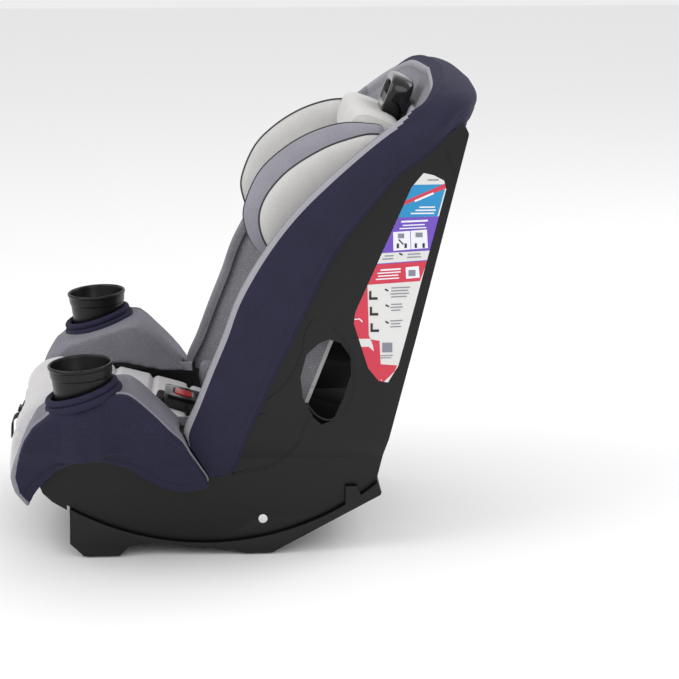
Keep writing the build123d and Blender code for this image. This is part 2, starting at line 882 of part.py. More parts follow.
# Wing outline along the backrest (s) and forward of it (f).
wing_profile = [
    (256, 14),
    (248, 60),
    (246, 124),
    (262, 152),
    (296, 176),
    (340, 180),
    (384, 161),
    (410, 130),
    (432, 99),
    (452, 60),
    (460, 14),
]
wing_plate_inner = 99.0
plate_front = 9.0 + head_plate
with BuildPart() as headrest_frame:
    with BuildSketch(back_plane.offset(9)):
        with Locations((0, (head_foot + head_top) / 2)):
            RectangleRounded(2 * head_half - 8, head_top - head_foot, 12)
        with Locations((0, head_top + 12)):
            Rectangle(68, 36)
    extrude(amount=head_plate)
    # Neck through the panel's slot to the carriage.
    with BuildSketch(back_plane.offset(-rail_rod_depth + carriage_thickness / 2)):
        with Locations((0, carriage_foot + carriage_height / 2)):
            RectangleRounded(2 * neck_half, carriage_height - 20, 6)
    extrude(amount=9.5 + rail_rod_depth - carriage_thickness / 2)
    # Side plates inside the wings.
    for plate_x in (wing_plate_inner, -wing_plate_inner - wall):
        with BuildSketch(Plane.YZ.offset(plate_x)):
            Polygon(
                on_back(272, 11), on_back(262, 60), on_back(262, 118), on_back(276, 142),
                on_back(300, 160), on_back(338, 163), on_back(376, 146), on_back(396, 122),
                on_back(416, 92), on_back(436, 54), on_back(444, 11), align=None,
            )
        extrude(amount=wall)
headrest_frame.part.label = "headrest_frame"
export_step(headrest_frame.part, "parts/headrest_frame.step")

with BuildPart() as headrest_pad:
    with BuildSketch(back_plane.offset(plate_front)):
        with Locations((0, (head_foot + head_top) / 2)):
            RectangleRounded(2 * wing_plate_inner - 1, head_top - head_foot - 8, 14)
    extrude(amount=head_pad_thickness)
    fillet(headrest_pad.faces().sort_by(Axis.Y)[0].edges(), radius=8)
headrest_pad.part.label = "headrest_pad"
export_step(headrest_pad.part, "parts/headrest_pad.step")

with BuildPart() as headrest_wing:
    with BuildSketch(Plane.YZ.offset(wing_plate_inner + wall)):
        Polygon(*[on_back(s, f) for s, f in wing_profile], align=None)
    extrude(amount=head_half - wing_plate_inner - wall)
    fillet(headrest_wing.faces().sort_by(Axis.X)[-1].edges(), radius=8)
headrest_wing.part.label = "headrest_wing_left"
export_step(headrest_wing.part, "parts/headrest_wing_left.step")
with BuildPart() as headrest_wing_right:
    add(mirror(headrest_wing.part, about=Plane.YZ, mode=Mode.PRIVATE))
headrest_wing_right.part.label = "headrest_wing_right"
export_step(headrest_wing_right.part, "parts/headrest_wing_right.step")

# Release handle: a loop on two legs that is pulled out of its housing.
handle_s = head_top + 2
handle_f = plate_front + 14
leg_x = 24.0
leg_radius = 4.0
leg_slack = 0.08
handle_plane = Plane(
    origin=(0, *on_back(handle_s, handle_f)),
    x_dir=(1, 0, 0),
    z_dir=(0, sin(radians(back_lean)), cos(radians(back_lean))),
)
with BuildPart() as handle_housing:
    with BuildSketch(back_plane.offset(plate_front)):
        with Locations((0, handle_s + 12)):
            RectangleRounded(70, 22, 5)
    extrude(amount=27)
    with BuildSketch(handle_plane):
        with Locations((leg_x, 0), (-leg_x, 0)):
            Circle(leg_radius + leg_slack)
    extrude(amount=40, mode=Mode.SUBTRACT)
handle_housing.part.label = "handle_housing"
export_step(handle_housing.part, "parts/handle_housing.step")

with BuildPart() as headrest_handle:
    with BuildSketch(back_plane.offset(plate_front + 4)):
        with Locations((0, handle_s + 37)):
            RectangleRounded(78, 26, 11)
            SlotOverall(50, 11, mode=Mode.SUBTRACT)
    extrude(amount=20)
    with BuildSketch(handle_plane.offset(4)):
        with Locations((leg_x, 0), (-leg_x, 0)):
            Circle(leg_radius)
    extrude(amount=22)
headrest_handle.part.label = "headrest_handle"
export_step(headrest_handle.part, "parts/headrest_handle.step")

# ---- harness ----------------------------------------------------------------------------------
strap_route = [
    on_back(harness_slot_s, -1),
    on_back(harness_slot_s, 20),
    on_back(190, back_pad_thickness + 3.5),
    on_back(180, back_pad_thickness + 2.6),
    on_back(40, back_pad_thickness + 2.6),
    (38, 152),
    (26, 142),
    (6, 140),
]
for side, centre in (("left", strap_x), ("right", -strap_x)):
    with BuildPart() as harness_strap:
        with BuildSketch(Plane.YZ.offset(centre - strap_width / 2)):
            with BuildLine():
                Polyline(*strap_route)
            trace(line_width=strap_thickness)
        extrude(amount=strap_width)
    harness_strap.part.label = f"harness_strap_{side}"
    export_step(harness_strap.part, f"parts/harness_strap_{side}.step")

with BuildPart() as chest_clip:
    with BuildSketch(back_plane.offset(back_pad_thickness + 3.9)):
        with Locations((0, 126)):
            RectangleRounded(2 * strap_x + strap_width + 6, 26, 7)
            with Locations((36, 0), (-36, 0)):
                SlotOverall(22, 8, mode=Mode.SUBTRACT)
    extrude(amount=8)
chest_clip.part.label = "chest_clip"
export_step(chest_clip.part, "parts/chest_clip.step")

tongue_slack = 0.15
tongue_thickness = 2.4
tongue_inner = 3.0
tongue_outer = 22.0
tongue_f = buckle_f + 6.0
button_slack = 0.15
with BuildPart() as buckle_housing:
    with BuildSketch(pan_plane.offset(buckle_f)):
        with Locations((0, -buckle_s - buckle_length / 2)):
            RectangleRounded(buckle_width, buckle_length, 9)
    extrude(amount=buckle_thickness)
    # Slots for the two tongues and a pocket for the button.
    with BuildSketch(pan_plane.offset(tongue_f - tongue_slack)):
        for way in (1, -1):
            with Locations((way * (tongue_inner + tongue_outer) / 2, -buckle_s - 7)):
                Rectangle(tongue_outer - tongue_inner + 2 * tongue_slack, 16)
    extrude(amount=tongue_thickness + 2 * tongue_slack, mode=Mode.SUBTRACT)
    with BuildSketch(pan_plane.offset(buckle_f + 10)):
        with Locations((0, -buckle_s - 36)):
            RectangleRounded(26 + 2 * button_slack, 24 + 2 * button_slack, 5)
    extrude(amount=20, mode=Mode.SUBTRACT)
buckle_housing.part.label = "buckle_housing"
export_step(buckle_housing.part, "parts/buckle_housing.step")

with BuildPart() as buckle_button:
    with BuildSketch(pan_plane.offset(buckle_f + 13)):
        with Locations((0, -buckle_s - 36)):
            RectangleRounded(26, 24, 5)
    extrude(amount=5)
buckle_button.part.label = "buckle_button"
export_step(buckle_button.part, "parts/buckle_button.step")

for side, way in (("left", 1), ("right", -1)):
    with BuildPart() as buckle_tongue:
        with BuildSketch(pan_plane.offset(tongue_f)):
            with Locations((way * (tongue_inner + tongue_outer) / 2, -buckle_s - 2)):
                Rectangle(tongue_outer - tongue_inner, 24)
            with Locations((way * (tongue_inner + strap_x + strap_width / 2) / 2, -buckle_s + 18)):
                Rectangle(strap_x + strap_width / 2 - tongue_inner, 18)
            with Locations((way * strap_x, -buckle_s + 20)):
                Rectangle(strap_width - 2, 5, mode=Mode.SUBTRACT)
        extrude(amount=tongue_thickness)
    buckle_tongue.part.label = f"buckle_tongue_{side}"
    export_step(buckle_tongue.part, f"parts/buckle_tongue_{side}.step")

with BuildPart() as crotch_strap:
    with BuildSketch(Plane.YZ):
        with BuildLine():
            Polyline(
                on_pan(crotch_s, -6),
                on_pan(crotch_s, buckle_f + 7),
                on_pan(buckle_s + buckle_length + 0.1, buckle_f + 7),
            )
        trace(line_width=strap_thickness)
    extrude(amount=crotch_width / 2, both=True)
crotch_strap.part.label = "crotch_strap"
export_step(crotch_strap.part, "parts/crotch_strap.step")

with BuildPart() as crotch_anchor:
    with BuildSketch(pan_plane.offset(-pan_under)):
        with Locations((0, -crotch_s)):
            RectangleRounded(60, 16, 3)
            Rectangle(crotch_width + 0.4, strap_thickness + 0.4, mode=Mode.SUBTRACT)
    extrude(amount=-2.5)
crotch_anchor.part.label = "crotch_anchor"
export_step(crotch_anchor.part, "parts/crotch_anchor.step")

# Straps behind the panel, their splitter plate and the adjuster strap below the pan.
splitter_s = 62.0
splitter_f = -5.0
for side, centre in (("left", strap_x), ("right", -strap_x)):
    with BuildPart() as back_strap:
        with BuildSketch(Plane.YZ.offset(centre - strap_width / 2)):
            with BuildLine():
                Polyline(
                    on_back(harness_slot_s, -1.4),
                    on_back(harness_slot_s, -5),
                    on_back(186, -5),
                    on_back(180, -1.8),
                    on_back(88, -1.8),
                    on_back(splitter_s + 18.2, splitter_f),
                )
            trace(line_width=strap_thickness)
        extrude(amount=strap_width)
    back_strap.part.label = f"back_strap_{side}"
    export_step(back_strap.part, f"parts/back_strap_{side}.step")

with BuildPart() as splitter_plate:
    with BuildSketch(back_plane.offset(splitter_f - 1)):
        with Locations((0, splitter_s + 8)):
            RectangleRounded(2 * strap_x + strap_width + 4, 18, 4)
    extrude(amount=2.5)
splitter_plate.part.label = "splitter_plate"
export_step(splitter_plate.part, "parts/splitter_plate.step")

with BuildPart() as adjuster_strap:
    with BuildSketch(Plane.YZ):
        with BuildLine():
            Polyline(
                on_back(splitter_s - 1.2, splitter_f),
                on_back(0, splitter_f - 4),
                (46, pan_rear_z - 9),
                (pan_y, pan_z - 9),
                on_pan(192, -9),
                (-262, adjuster_z),
                (-301, adjuster_z),
                (-311, adjuster_z - 1),
                (-316, adjuster_z - 8),
                (-317, adjuster_z - 30),
            )
        trace(line_width=strap_thickness)
    extrude(amount=adjuster_width / 2, both=True)
adjuster_strap.part.label = "adjuster_strap"
export_step(adjuster_strap.part, "parts/adjuster_strap.step")

with BuildPart() as adjuster_bezel:
    with BuildSketch(Plane.YZ):
        Polygon(
            (-298.3, 163.5), (-303.2, 152.1), (-306.7, 141), (-309.3, 141.8), (-305.8, 153), (-300.8, 164.6),
            align=None,
        )
    extrude(amount=22, both=True)
    with BuildSketch(Plane.XZ.offset(340)):
        with Locations((0, adjuster_z)):
            Rectangle(adjuster_width + 3, 6)
        with Locations((0, 160)):
            Rectangle(2 * adjuster_button_half + 0.6, 14)
    extrude(amount=-60, mode=Mode.SUBTRACT)
adjuster_bezel.part.label = "adjuster_bezel"
export_step(adjuster_bezel.part, "parts/adjuster_bezel.step")

with BuildPart() as adjuster_button:
    with BuildSketch(Plane.YZ):
        Polygon((-299.5, 160.6), (-302, 154.6), (-308, 156.8), (-305.4, 163), align=None)
    extrude(amount=adjuster_button_half, both=True)
adjuster_button.part.label = "adjuster_button"
export_step(adjuster_button.part, "parts/adjuster_button.step")

# ---- labels and snaps on the shell's sides ---------------------------------------------------
label_outline = [
    (246, 515),
    (233, 518),
    (218, 500),
    (147, 337),
    (145, 322),
    (164, 261),
    (190, 241),
    (203, 263),
    (262, 497),
    (259, 508),
]
for name, thickness in (("label", 0.5), ("cover_snap", 1.6)):
    for side in (1, -1):
        with BuildPart() as trim_piece:
            with BuildSketch(Plane.YZ):
                if name == "label":
                    Polygon(*label_outline, align=None)
                else:
                    with Locations((26, 195)):
                        Circle(5)
            extrude(amount=side * 260)
            with BuildSketch(Plane.XZ):
                Polygon(*[(side * x, z) for x, z in wall_band(0, thickness)], align=None)
            extrude(amount=500, both=True, mode=Mode.INTERSECT)
        full_name = f"{name}_left" if side > 0 else f"{name}_right"
        trim_piece.part.label = full_name
        export_step(trim_piece.part, f"parts/{full_name}.step")
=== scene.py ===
import json
import math

import bpy
import numpy as np
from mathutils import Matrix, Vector


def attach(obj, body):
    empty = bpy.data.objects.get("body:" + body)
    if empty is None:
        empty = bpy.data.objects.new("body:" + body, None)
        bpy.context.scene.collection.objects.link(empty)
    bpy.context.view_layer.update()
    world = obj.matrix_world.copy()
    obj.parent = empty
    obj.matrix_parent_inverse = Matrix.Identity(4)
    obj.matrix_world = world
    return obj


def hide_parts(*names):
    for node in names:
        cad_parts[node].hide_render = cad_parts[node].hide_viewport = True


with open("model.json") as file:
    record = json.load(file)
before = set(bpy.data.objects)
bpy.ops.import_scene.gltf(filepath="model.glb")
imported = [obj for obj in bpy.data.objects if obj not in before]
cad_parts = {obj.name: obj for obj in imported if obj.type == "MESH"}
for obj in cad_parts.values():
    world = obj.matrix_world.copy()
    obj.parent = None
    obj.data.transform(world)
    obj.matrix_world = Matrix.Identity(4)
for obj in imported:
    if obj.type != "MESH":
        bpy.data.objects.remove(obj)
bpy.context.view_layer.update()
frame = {"nodes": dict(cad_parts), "record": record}

mm = 0.001
weldDistance = 0.00002   # metres; points nearer than this are one


# ---- small helpers ----
def camelName(node):
    words = node.split("_")
    return words[0] + "".join(w.title() for w in words[1:])


def hexColour(code):
    # sRGB hex to the linear values that shaders take
    channels = [int(code[i:i + 2], 16) / 255 for i in (1, 3, 5)]
    linear = [c / 12.92 if c <= 0.04045 else ((c + 0.055) / 1.055) ** 2.4 for c in channels]
    return (*linear, 1.0)


def addNode(tree, kind, settings):
    # a setting is a value, or another node's output to link in
    node = tree.nodes.new(kind)
    for key, value in settings.items():
        if isinstance(value, bpy.types.NodeSocket):
            tree.links.new(value, node.inputs[key])
        elif isinstance(key, int) or key in node.inputs:
            node.inputs[key].default_value = value
        else:
            setattr(node, key, value)
    return node


def startMaterial(name, shaderSettings):
    material = bpy.data.materials.new(name)
    material.use_nodes = True
    tree = material.node_tree
    shader = tree.nodes["Principled BSDF"]
    for key, value in shaderSettings.items():
        shader.inputs[key].default_value = value
    return material, tree, shader


def deselectAll():
    if bpy.context.mode != "OBJECT":
        bpy.ops.object.mode_set(mode="OBJECT")
    bpy.ops.object.select_all(action="DESELECT")


def pick(obj):
    deselectAll()
    obj.select_set(True)
    bpy.context.view_layer.objects.active = obj


def applyModifiers(obj):
    pick(obj)
    for modifier in list(obj.modifiers):
        bpy.ops.object.modifier_apply(modifier=modifier.name)


def fixNormals(obj):
    pick(obj)
    bpy.ops.object.mode_set(mode="EDIT")
    bpy.ops.mesh.select_all(action="SELECT")
    bpy.ops.mesh.remove_doubles(threshold=weldDistance)
    bpy.ops.mesh.normals_make_consistent(inside=False)
    bpy.ops.object.mode_set(mode="OBJECT")


def smoothShade(obj, angle=35):
    pick(obj)
    bpy.ops.object.shade_smooth_by_angle(angle=math.radians(angle))


def finishPiece(obj, body, materials, nodes=()):
    # every piece gets its place in the assembly and its finish, and the CAD nodes it replaces are hidden
    marks = [polygon.material_index for polygon in obj.data.polygons]
    obj.data.materials.clear()
    for material in materials:
        obj.data.materials.append(material)
    obj.data.polygons.foreach_set("material_index", marks)
    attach(obj, body)
    if nodes:
        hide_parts(*nodes)
    return obj


def curvePoint(p0, p1, p2, p3, t):
    # a place between p1 and p2 on the Catmull-Rom curve through the four
    return 0.5 * ((2 * p1) + (p2 - p0) * t + (2 * p0 - 5 * p1 + 4 * p2 - p3) * t * t
                  + (3 * p1 - p0 - 3 * p2 + p3) * t ** 3)


def squarish(angle, power):
    # a point on a circle pulled out towards a square, the more so the smaller the power
    return (math.copysign(abs(math.cos(angle)) ** power, math.cos(angle)),
            math.copysign(abs(math.sin(angle)) ** power, math.sin(angle)))


def smoothPath(points, count):
    # evenly spaced points on a Catmull-Rom curve through the given ones
    pts = [Vector(p) for p in points]
    ends = [pts[0] * 2 - pts[1]] + pts + [pts[-1] * 2 - pts[-2]]
    dense = []
    for i in range(1, len(ends) - 2):
        dense += [curvePoint(*ends[i - 1:i + 3], k / 24) for k in range(24)]
    dense.append(pts[-1])
    lengths = [0.0]
    for a, b in zip(dense, dense[1:]):
        lengths.append(lengths[-1] + (b - a).length)
    result, j = [], 0
    for k in range(count):
        want = lengths[-1] * k / (count - 1)
        while j < len(lengths) - 2 and lengths[j + 1] < want:
            j += 1
        step = lengths[j + 1] - lengths[j]
        result.append(dense[j].lerp(dense[j + 1], (want - lengths[j]) / step if step else 0))
    return result


def pairedPath(points, count):
    # points on the curve through the given ones, the same share between each two of them
    pts = [Vector(p) for p in points]
    ends = [pts[0] * 2 - pts[1]] + pts + [pts[-1] * 2 - pts[-2]]
    result = []
    for k in range(count):
        place = (len(pts) - 1) * k / (count - 1)
        i = min(int(place), len(pts) - 2)
        result.append(curvePoint(*ends[i:i + 4], place - i))
    return result


def loft(name, rings, caps=True, faceMaterial=None):
    # a skin over rings of points, with a UV map in metres along and across the cloth
    rows, cols = len(rings), len(rings[0])
    verts = [p for ring in rings for p in ring]
    faces, uvs, marks = [], [], []
    along = [0.0]
    for a, b in zip(rings, rings[1:]):
        along.append(along[-1] + sum((q - p).length for p, q in zip(a, b)) / cols)
    for i in range(rows - 1):
        acrossA, acrossB = [0.0], [0.0]
        for j in range(cols):
            acrossA.append(acrossA[-1] + (rings[i][(j + 1) % cols] - rings[i][j]).length)
            acrossB.append(acrossB[-1] + (rings[i + 1][(j + 1) % cols] - rings[i + 1][j]).length)
        for j in range(cols):
            k = (j + 1) % cols
            faces.append((i * cols + j, i * cols + k, (i + 1) * cols + k, (i + 1) * cols + j))
            uvs.append(((along[i], acrossA[j]), (along[i], acrossA[j + 1]),
                        (along[i + 1], acrossB[j + 1]), (along[i + 1], acrossB[j])))
            marks.append(faceMaterial(i, j) if faceMaterial else 0)
    if caps:
        for i in (0, rows - 1):
            centre = sum(rings[i], Vector()) / cols
            verts.append(centre)
            for j in range(cols):
                faces.append((len(verts) - 1, i * cols + j, i * cols + (j + 1) % cols))
                uvs.append(((0, 0), (0.001, 0), (0, 0.001)))
                marks.append(faceMaterial(min(i, rows - 2), j) if faceMaterial else 0)
    mesh = bpy.data.meshes.new(name)
    mesh.from_pydata(verts, [], faces)
    layer = mesh.uv_layers.new(name="cloth")
    loopAt = 0
    for polygon, coords, mark in zip(mesh.polygons, uvs, marks):
        polygon.material_index = mark
        polygon.use_smooth = True
        for uv in coords:
            layer.data[loopAt].uv = uv
            loopAt += 1
    obj = bpy.data.objects.new(name, mesh)
    bpy.context.collection.objects.link(obj)
    pick(obj)
    bpy.ops.object.mode_set(mode="EDIT")
    bpy.ops.mesh.select_all(action="SELECT")
    bpy.ops.mesh.normals_make_consistent(inside=False)
    bpy.ops.object.mode_set(mode="OBJECT")
    return obj


def tube(name, points, radius, sides=10):
    # round cord of constant thickness along a path, closed at both ends
    rings, up = [], None
    for i, p in enumerate(points):
        ahead = (points[min(i + 1, len(points) - 1)] - points[max(i - 1, 0)]).normalized()
        if up is None:
            up = ahead.orthogonal()
        up = (up - ahead * up.dot(ahead)).normalized()
        side = ahead.cross(up)
        rings.append([p + radius * (math.cos(a) * up + math.sin(a) * side)
                      for a in [2 * math.pi * k / sides for k in range(sides)]])
    return loft(name, rings)


def mirrorCopy(obj, name):
    copy = obj.copy()
    copy.data = obj.data.copy()
    copy.name = name
    copy.data.name = name
    bpy.context.collection.objects.link(copy)
    pick(copy)
    bpy.ops.object.mode_set(mode="EDIT")
    bpy.ops.mesh.select_all(action="SELECT")
    bpy.ops.transform.resize(value=(-1, 1, 1), center_override=(0, 0, 0))
    bpy.ops.mesh.normals_make_consistent(inside=False)
    bpy.ops.object.mode_set(mode="OBJECT")
    return copy


def bevelledCopy(node, name, width, segments=2):
    # the CAD shape with its sharp edges broken, as a mould leaves them
    source = frame["nodes"][node]
    mesh = source.data.copy()
    copy = bpy.data.objects.new(name, mesh)
    mesh.name = name
    bpy.context.collection.objects.link(copy)
    fixNormals(copy)
    pick(copy)
    bpy.ops.object.mode_set(mode="EDIT")
    bpy.ops.mesh.select_all(action="SELECT")
    bpy.ops.mesh.dissolve_limited(angle_limit=math.radians(1.5))
    bpy.ops.object.mode_set(mode="OBJECT")
    bevel = copy.modifiers.new("edges", "BEVEL")
    bevel.width = width
    bevel.segments = segments
    bevel.limit_method = "ANGLE"
    bevel.angle_limit = math.radians(28)
    bevel.harden_normals = False
    applyModifiers(copy)
    smoothShade(copy, 32)
    return copy


# ---- camera, stage and light ----
cameraSet = {"azimuth": 86.466, "elevation": 14.947, "target": (0, 0.1383, 0.2500),
             "distance": 2.8519, "lens": 109.06}


def buildStage():
    az, el = math.radians(cameraSet["azimuth"]), math.radians(cameraSet["elevation"])
    target = Vector(cameraSet["target"])
    away = Vector((math.sin(az) * math.cos(el), -math.cos(az) * math.cos(el), math.sin(el)))
    bpy.ops.object.camera_add(location=target + cameraSet["distance"] * away)
    camera = bpy.context.object
    camera.rotation_euler = (-away).to_track_quat("-Z", "Y").to_euler()
    camera.data.lens = cameraSet["lens"]
    camera.data.sensor_width = 36
    bpy.context.scene.camera = camera

    deselectAll()
    bpy.ops.mesh.primitive_plane_add(size=14, location=(0, 0, -0.0005))
    floor = bpy.context.object
    floor.name = "paleFloor"
    paint = startMaterial("paleFloorPaint", {"Roughness": 0.9, "Base Color": hexColour("#f4f4f4")})
    floor.data.materials.append(paint[0])

    world = bpy.data.worlds.new("studioWorld")
    bpy.context.scene.world = world
    world.use_nodes = True
    world.node_tree.nodes["Background"].inputs["Color"].default_value = (1, 1, 1, 1)
    world.node_tree.nodes["Background"].inputs["Strength"].default_value = 0.85

    lights = {
        "keySoftbox": ((0.9, -2.2, 2.4), 2.2, 34),      # over the camera's left shoulder, at the front
        "sideSoftbox": ((2.6, 0.9, 1.9), 1.8, 16),      # fills the near side
        "rearSoftbox": ((-0.6, 2.3, 2.2), 1.6, 26),     # lifts the rim and the shell's rear edge
    }
    for name, (place, size, power) in lights.items():
        bpy.ops.object.light_add(type="AREA", location=place)
        light = bpy.context.object
        light.name = name
        light.data.size = size
        light.data.energy = power
        light.rotation_euler = (Vector((0, 0, 0.3)) - Vector(place)).to_track_quat("-Z", "Y").to_euler()
    bpy.context.scene.view_settings.view_transform = "Standard"
    print("stage done")


buildStage()


# ---- materials ----
def maths(tree, operation, *values):
    # each value is a number or another node's output
    return addNode(tree, "ShaderNodeMath", {"operation": operation, **dict(enumerate(values))}).outputs[0]


def mixed(tree, share, dark, light):
    return addNode(tree, "ShaderNodeMix", {"data_type": "RGBA", 0: share, 6: dark, 7: light}).outputs[2]


def noiseAt(tree, place, scale, detail, **others):
    return addNode(tree, "ShaderNodeTexNoise",
                   {"Scale": scale, "Detail": detail, **others, "Vector": place}).outputs["Fac"]


def cellsAt(tree, place, scale, **others):
    return addNode(tree, "ShaderNodeTexVoronoi",
                   {"Scale": scale, **others, "Vector": place}).outputs["Distance"]


def placeIn(tree, coordinates):
    return addNode(tree, "ShaderNodeTexCoord", {}).outputs[coordinates]


def finishShader(tree, shader, colour, strength, depth, height):
    # colour, and the relief of threads or grain, its depth in metres
    tree.links.new(colour, shader.inputs["Base Color"])
    bump = addNode(tree, "ShaderNodeBump", {"Strength": strength, "Distance": depth, "Height": height})
    tree.links.new(bump.outputs[0], shader.inputs["Normal"])


def startCloth(name, tint, roughness, sheen, sheenRoughness, specular):
    # matt, with a soft sheen at grazing angles
    return startMaterial(name, {
        "Roughness": roughness, "Sheen Weight": sheen, "Sheen Roughness": sheenRoughness, "IOR": 1.45,
        "Sheen Tint": hexColour(tint), "Specular IOR Level": specular})


def wovenPolyester(name, dark, light, threadMm, coordinates="UV", sheen=0.35, bump=0.25):
    # woven polyester: thread pattern drawn coarse enough to show
    material, tree, shader = startCloth(name, light, 0.82, sheen, 0.45, 0.25)
    place = placeIn(tree, coordinates)
    slanted = addNode(tree, "ShaderNodeMapping", {"Rotation": (0, 0, math.radians(45)), "Vector": place})
    weave = cellsAt(tree, slanted.outputs[0], 1 / (threadMm * mm), Randomness=0.55)
    dye = noiseAt(tree, place, 22.0, 5.0, Roughness=0.65)
    fleck = noiseAt(tree, place, 900.0, 2.0)
    amount = maths(tree, "MULTIPLY_ADD", weave, 0.45, maths(tree, "MULTIPLY", dye, 0.5))
    tone = maths(tree, "MULTIPLY_ADD", fleck, 0.25, amount)
    finishShader(tree, shader, mixed(tree, tone, hexColour(dark), hexColour(light)), bump, 0.0004, tone)
    return material


def knittedMesh(name, dark, light, ribMm):
    # warp-knitted spacer mesh: vertical ribs with small open cells between them
    material, tree, shader = startCloth(name, light, 0.88, 0.3, 0.5, 0.2)
    place = placeIn(tree, "UV")
    rib = addNode(tree, "ShaderNodeTexWave", {"Scale": 2 * math.pi / (ribMm * mm) / 20, "Distortion": 0.5,
                                              "bands_direction": "X", "Vector": place})
    cells = cellsAt(tree, place, 1 / (ribMm * mm))
    amount = maths(tree, "MULTIPLY", rib.outputs["Fac"], cells)
    tone = maths(tree, "MULTIPLY_ADD", noiseAt(tree, place, 14.0, 4.0), 0.5, amount)
    finishShader(tree, shader, mixed(tree, tone, hexColour(dark), hexColour(light)), 0.35, 0.0005, amount)
    return material


def mouldedPlastic(name, base, roughness, grainMm, bump, coat=0.0):
    # injection-moulded polypropylene or ABS: fine spark-eroded grain, slightly uneven gloss
    material, tree, shader = startMaterial(name, {"IOR": 1.49, "Coat Weight": coat,
                                                  "Coat Roughness": 0.12, "Specular IOR Level": 0.3})
    place = placeIn(tree, "Object")
    grain = noiseAt(tree, place, 1 / (grainMm * mm), 3.0)
    patch = noiseAt(tree, place, 9.0, 4.0)
    tree.links.new(maths(tree, "MULTIPLY_ADD", patch, 0.16, roughness - 0.08), shader.inputs["Roughness"])
    lighter = tuple(c * 1.4 + 0.001 for c in hexColour(base)[:3]) + (1.0,)
    colour = mixed(tree, maths(tree, "MULTIPLY", patch, 0.5), hexColour(base), lighter)
    finishShader(tree, shader, colour, bump, 0.0002, grain)
    return material


def platedSteel(name, base, roughness):
    # zinc-plated steel: faint rolled streaks
    material, tree, shader = startMaterial(name, {"Metallic": 1.0, "Base Color": hexColour(base)})
    place = placeIn(tree, "Object")
    streak = addNode(tree, "ShaderNodeMapping", {"Scale": (40, 900, 900), "Vector": place})
    noise = noiseAt(tree, streak.outputs[0], 1.0, 3.0)
    tree.links.new(maths(tree, "MULTIPLY_ADD", noise, 0.15, roughness), shader.inputs["Roughness"])
    return material


def makeZonedCover():
    # arm covers: navy weave outside, a lining-grey strip at the seam, knitted mesh inside
    material, tree, shader = startCloth("armCoverCloth", "#55536e", 0.84, 0.3, 0.45, 0.22)
    place = placeIn(tree, "Object")
    zone = addNode(tree, "ShaderNodeAttribute", {"attribute_name": "zone"}).outputs["Fac"]
    dye = noiseAt(tree, place, 20.0, 5.0, Roughness=0.65)
    tone = maths(tree, "MULTIPLY_ADD", cellsAt(tree, place, 620.0), 0.55, maths(tree, "MULTIPLY", dye, 0.5))
    navy, strip, knit = [mixed(tree, tone, hexColour(dark), hexColour(light)) for dark, light in
                         (("#161523", "#2f2e44"), ("#6f6e76", "#94939a"), ("#55545b", "#8b8a91"))]
    inStrip = addNode(tree, "ShaderNodeMapRange", {"From Min": -6.4, "From Max": -5.6, "Value": zone})
    inNavy = addNode(tree, "ShaderNodeMapRange", {"From Min": -0.4, "From Max": 0.4, "Value": zone})
    inner = mixed(tree, inStrip.outputs[0], knit, strip)
    finishShader(tree, shader, mixed(tree, inNavy.outputs[0], inner, navy), 0.25, 0.0004, tone)
    return material


navyWeave = wovenPolyester("navyWovenPolyester", "#161523", "#2f2e44", 1.8)
navyPiping = wovenPolyester("navyPiping", "#131222", "#2c2a42", 1.4, sheen=0.2)
liningGrey = wovenPolyester("lavenderGreyLining", "#7f7d85", "#a5a3aa", 1.6, bump=0.2)
ribMesh = knittedMesh("greyWarpKnitMesh", "#5f5e64", "#9a999f", 2.2)
padKnit = wovenPolyester("warmGreyQuiltKnit", "#a3a1a4", "#d2d0d1", 2.0, bump=0.2)
headKnit = wovenPolyester("paleGreyHeadKnit", "#a9a8a6", "#d0cfcd", 1.8, "Object", bump=0.15)
bandWeave = wovenPolyester("midGreyBand", "#6f6e76", "#97969f", 1.6, "Object")
darkPiping = wovenPolyester("charcoalPiping", "#2c2b30", "#4a494f", 1.2, sheen=0.1)
blackWebbing = wovenPolyester("blackHarnessWebbing", "#0c0c0d", "#2b2b2d", 2.0, sheen=0.1)
shellPlastic = mouldedPlastic("blackPolypropyleneSatin", "#0d0d0e", 0.38, 0.5, 0.10)
basePlastic = mouldedPlastic("blackPolypropyleneBase", "#101011", 0.42, 0.6, 0.12)
cupPlastic = mouldedPlastic("blackCupPolypropylene", "#0e0e0f", 0.34, 0.7, 0.08)
glossAbs = mouldedPlastic("blackGlossAbs", "#0b0b0c", 0.16, 1.0, 0.03, coat=0.4)
redAbs = mouldedPlastic("redButtonAbs", "#a01510", 0.3, 0.6, 0.05)
paleAbs = mouldedPlastic("offWhiteAbs", "#cfcfcd", 0.35, 0.6, 0.05)
moulderRubber = mouldedPlastic("blackMouldedRubber", "#151515", 0.75, 0.8, 0.2)
zincSteel = platedSteel("zincPlatedSteel", "#b8b9bb", 0.32)
brightSteel = platedSteel("polishedSteel", "#d8d8da", 0.16)
zonedCover = makeZonedCover()
print("materials done")


# ---- shell shape that the covers follow ----
shellWall = [(163, 0), (163, 133), (180, 162), (190, 300), (196, 660)]  # half width at a height, mm


def wallX(z):
    for (xa, za), (xb, zb) in zip(shellWall, shellWall[1:]):
        if z <= zb:
            return xa + (xb - xa) * (z - za) / (zb - za)
    return shellWall[-1][0]


backLean, backFoot = math.radians(21.4), (60.0, 125.0)
panSlope, panStart = math.radians(16.3), (-50.0, 112.0)


def onBack(s, f):
    return (backFoot[0] + s * math.sin(backLean) - f * math.cos(backLean),
            backFoot[1] + s * math.cos(backLean) + f * math.sin(backLean))


def onPan(s, f):
    return (panStart[0] - s * math.cos(panSlope) + f * math.sin(panSlope),
            panStart[1] + s * math.sin(panSlope) + f * math.cos(panSlope))


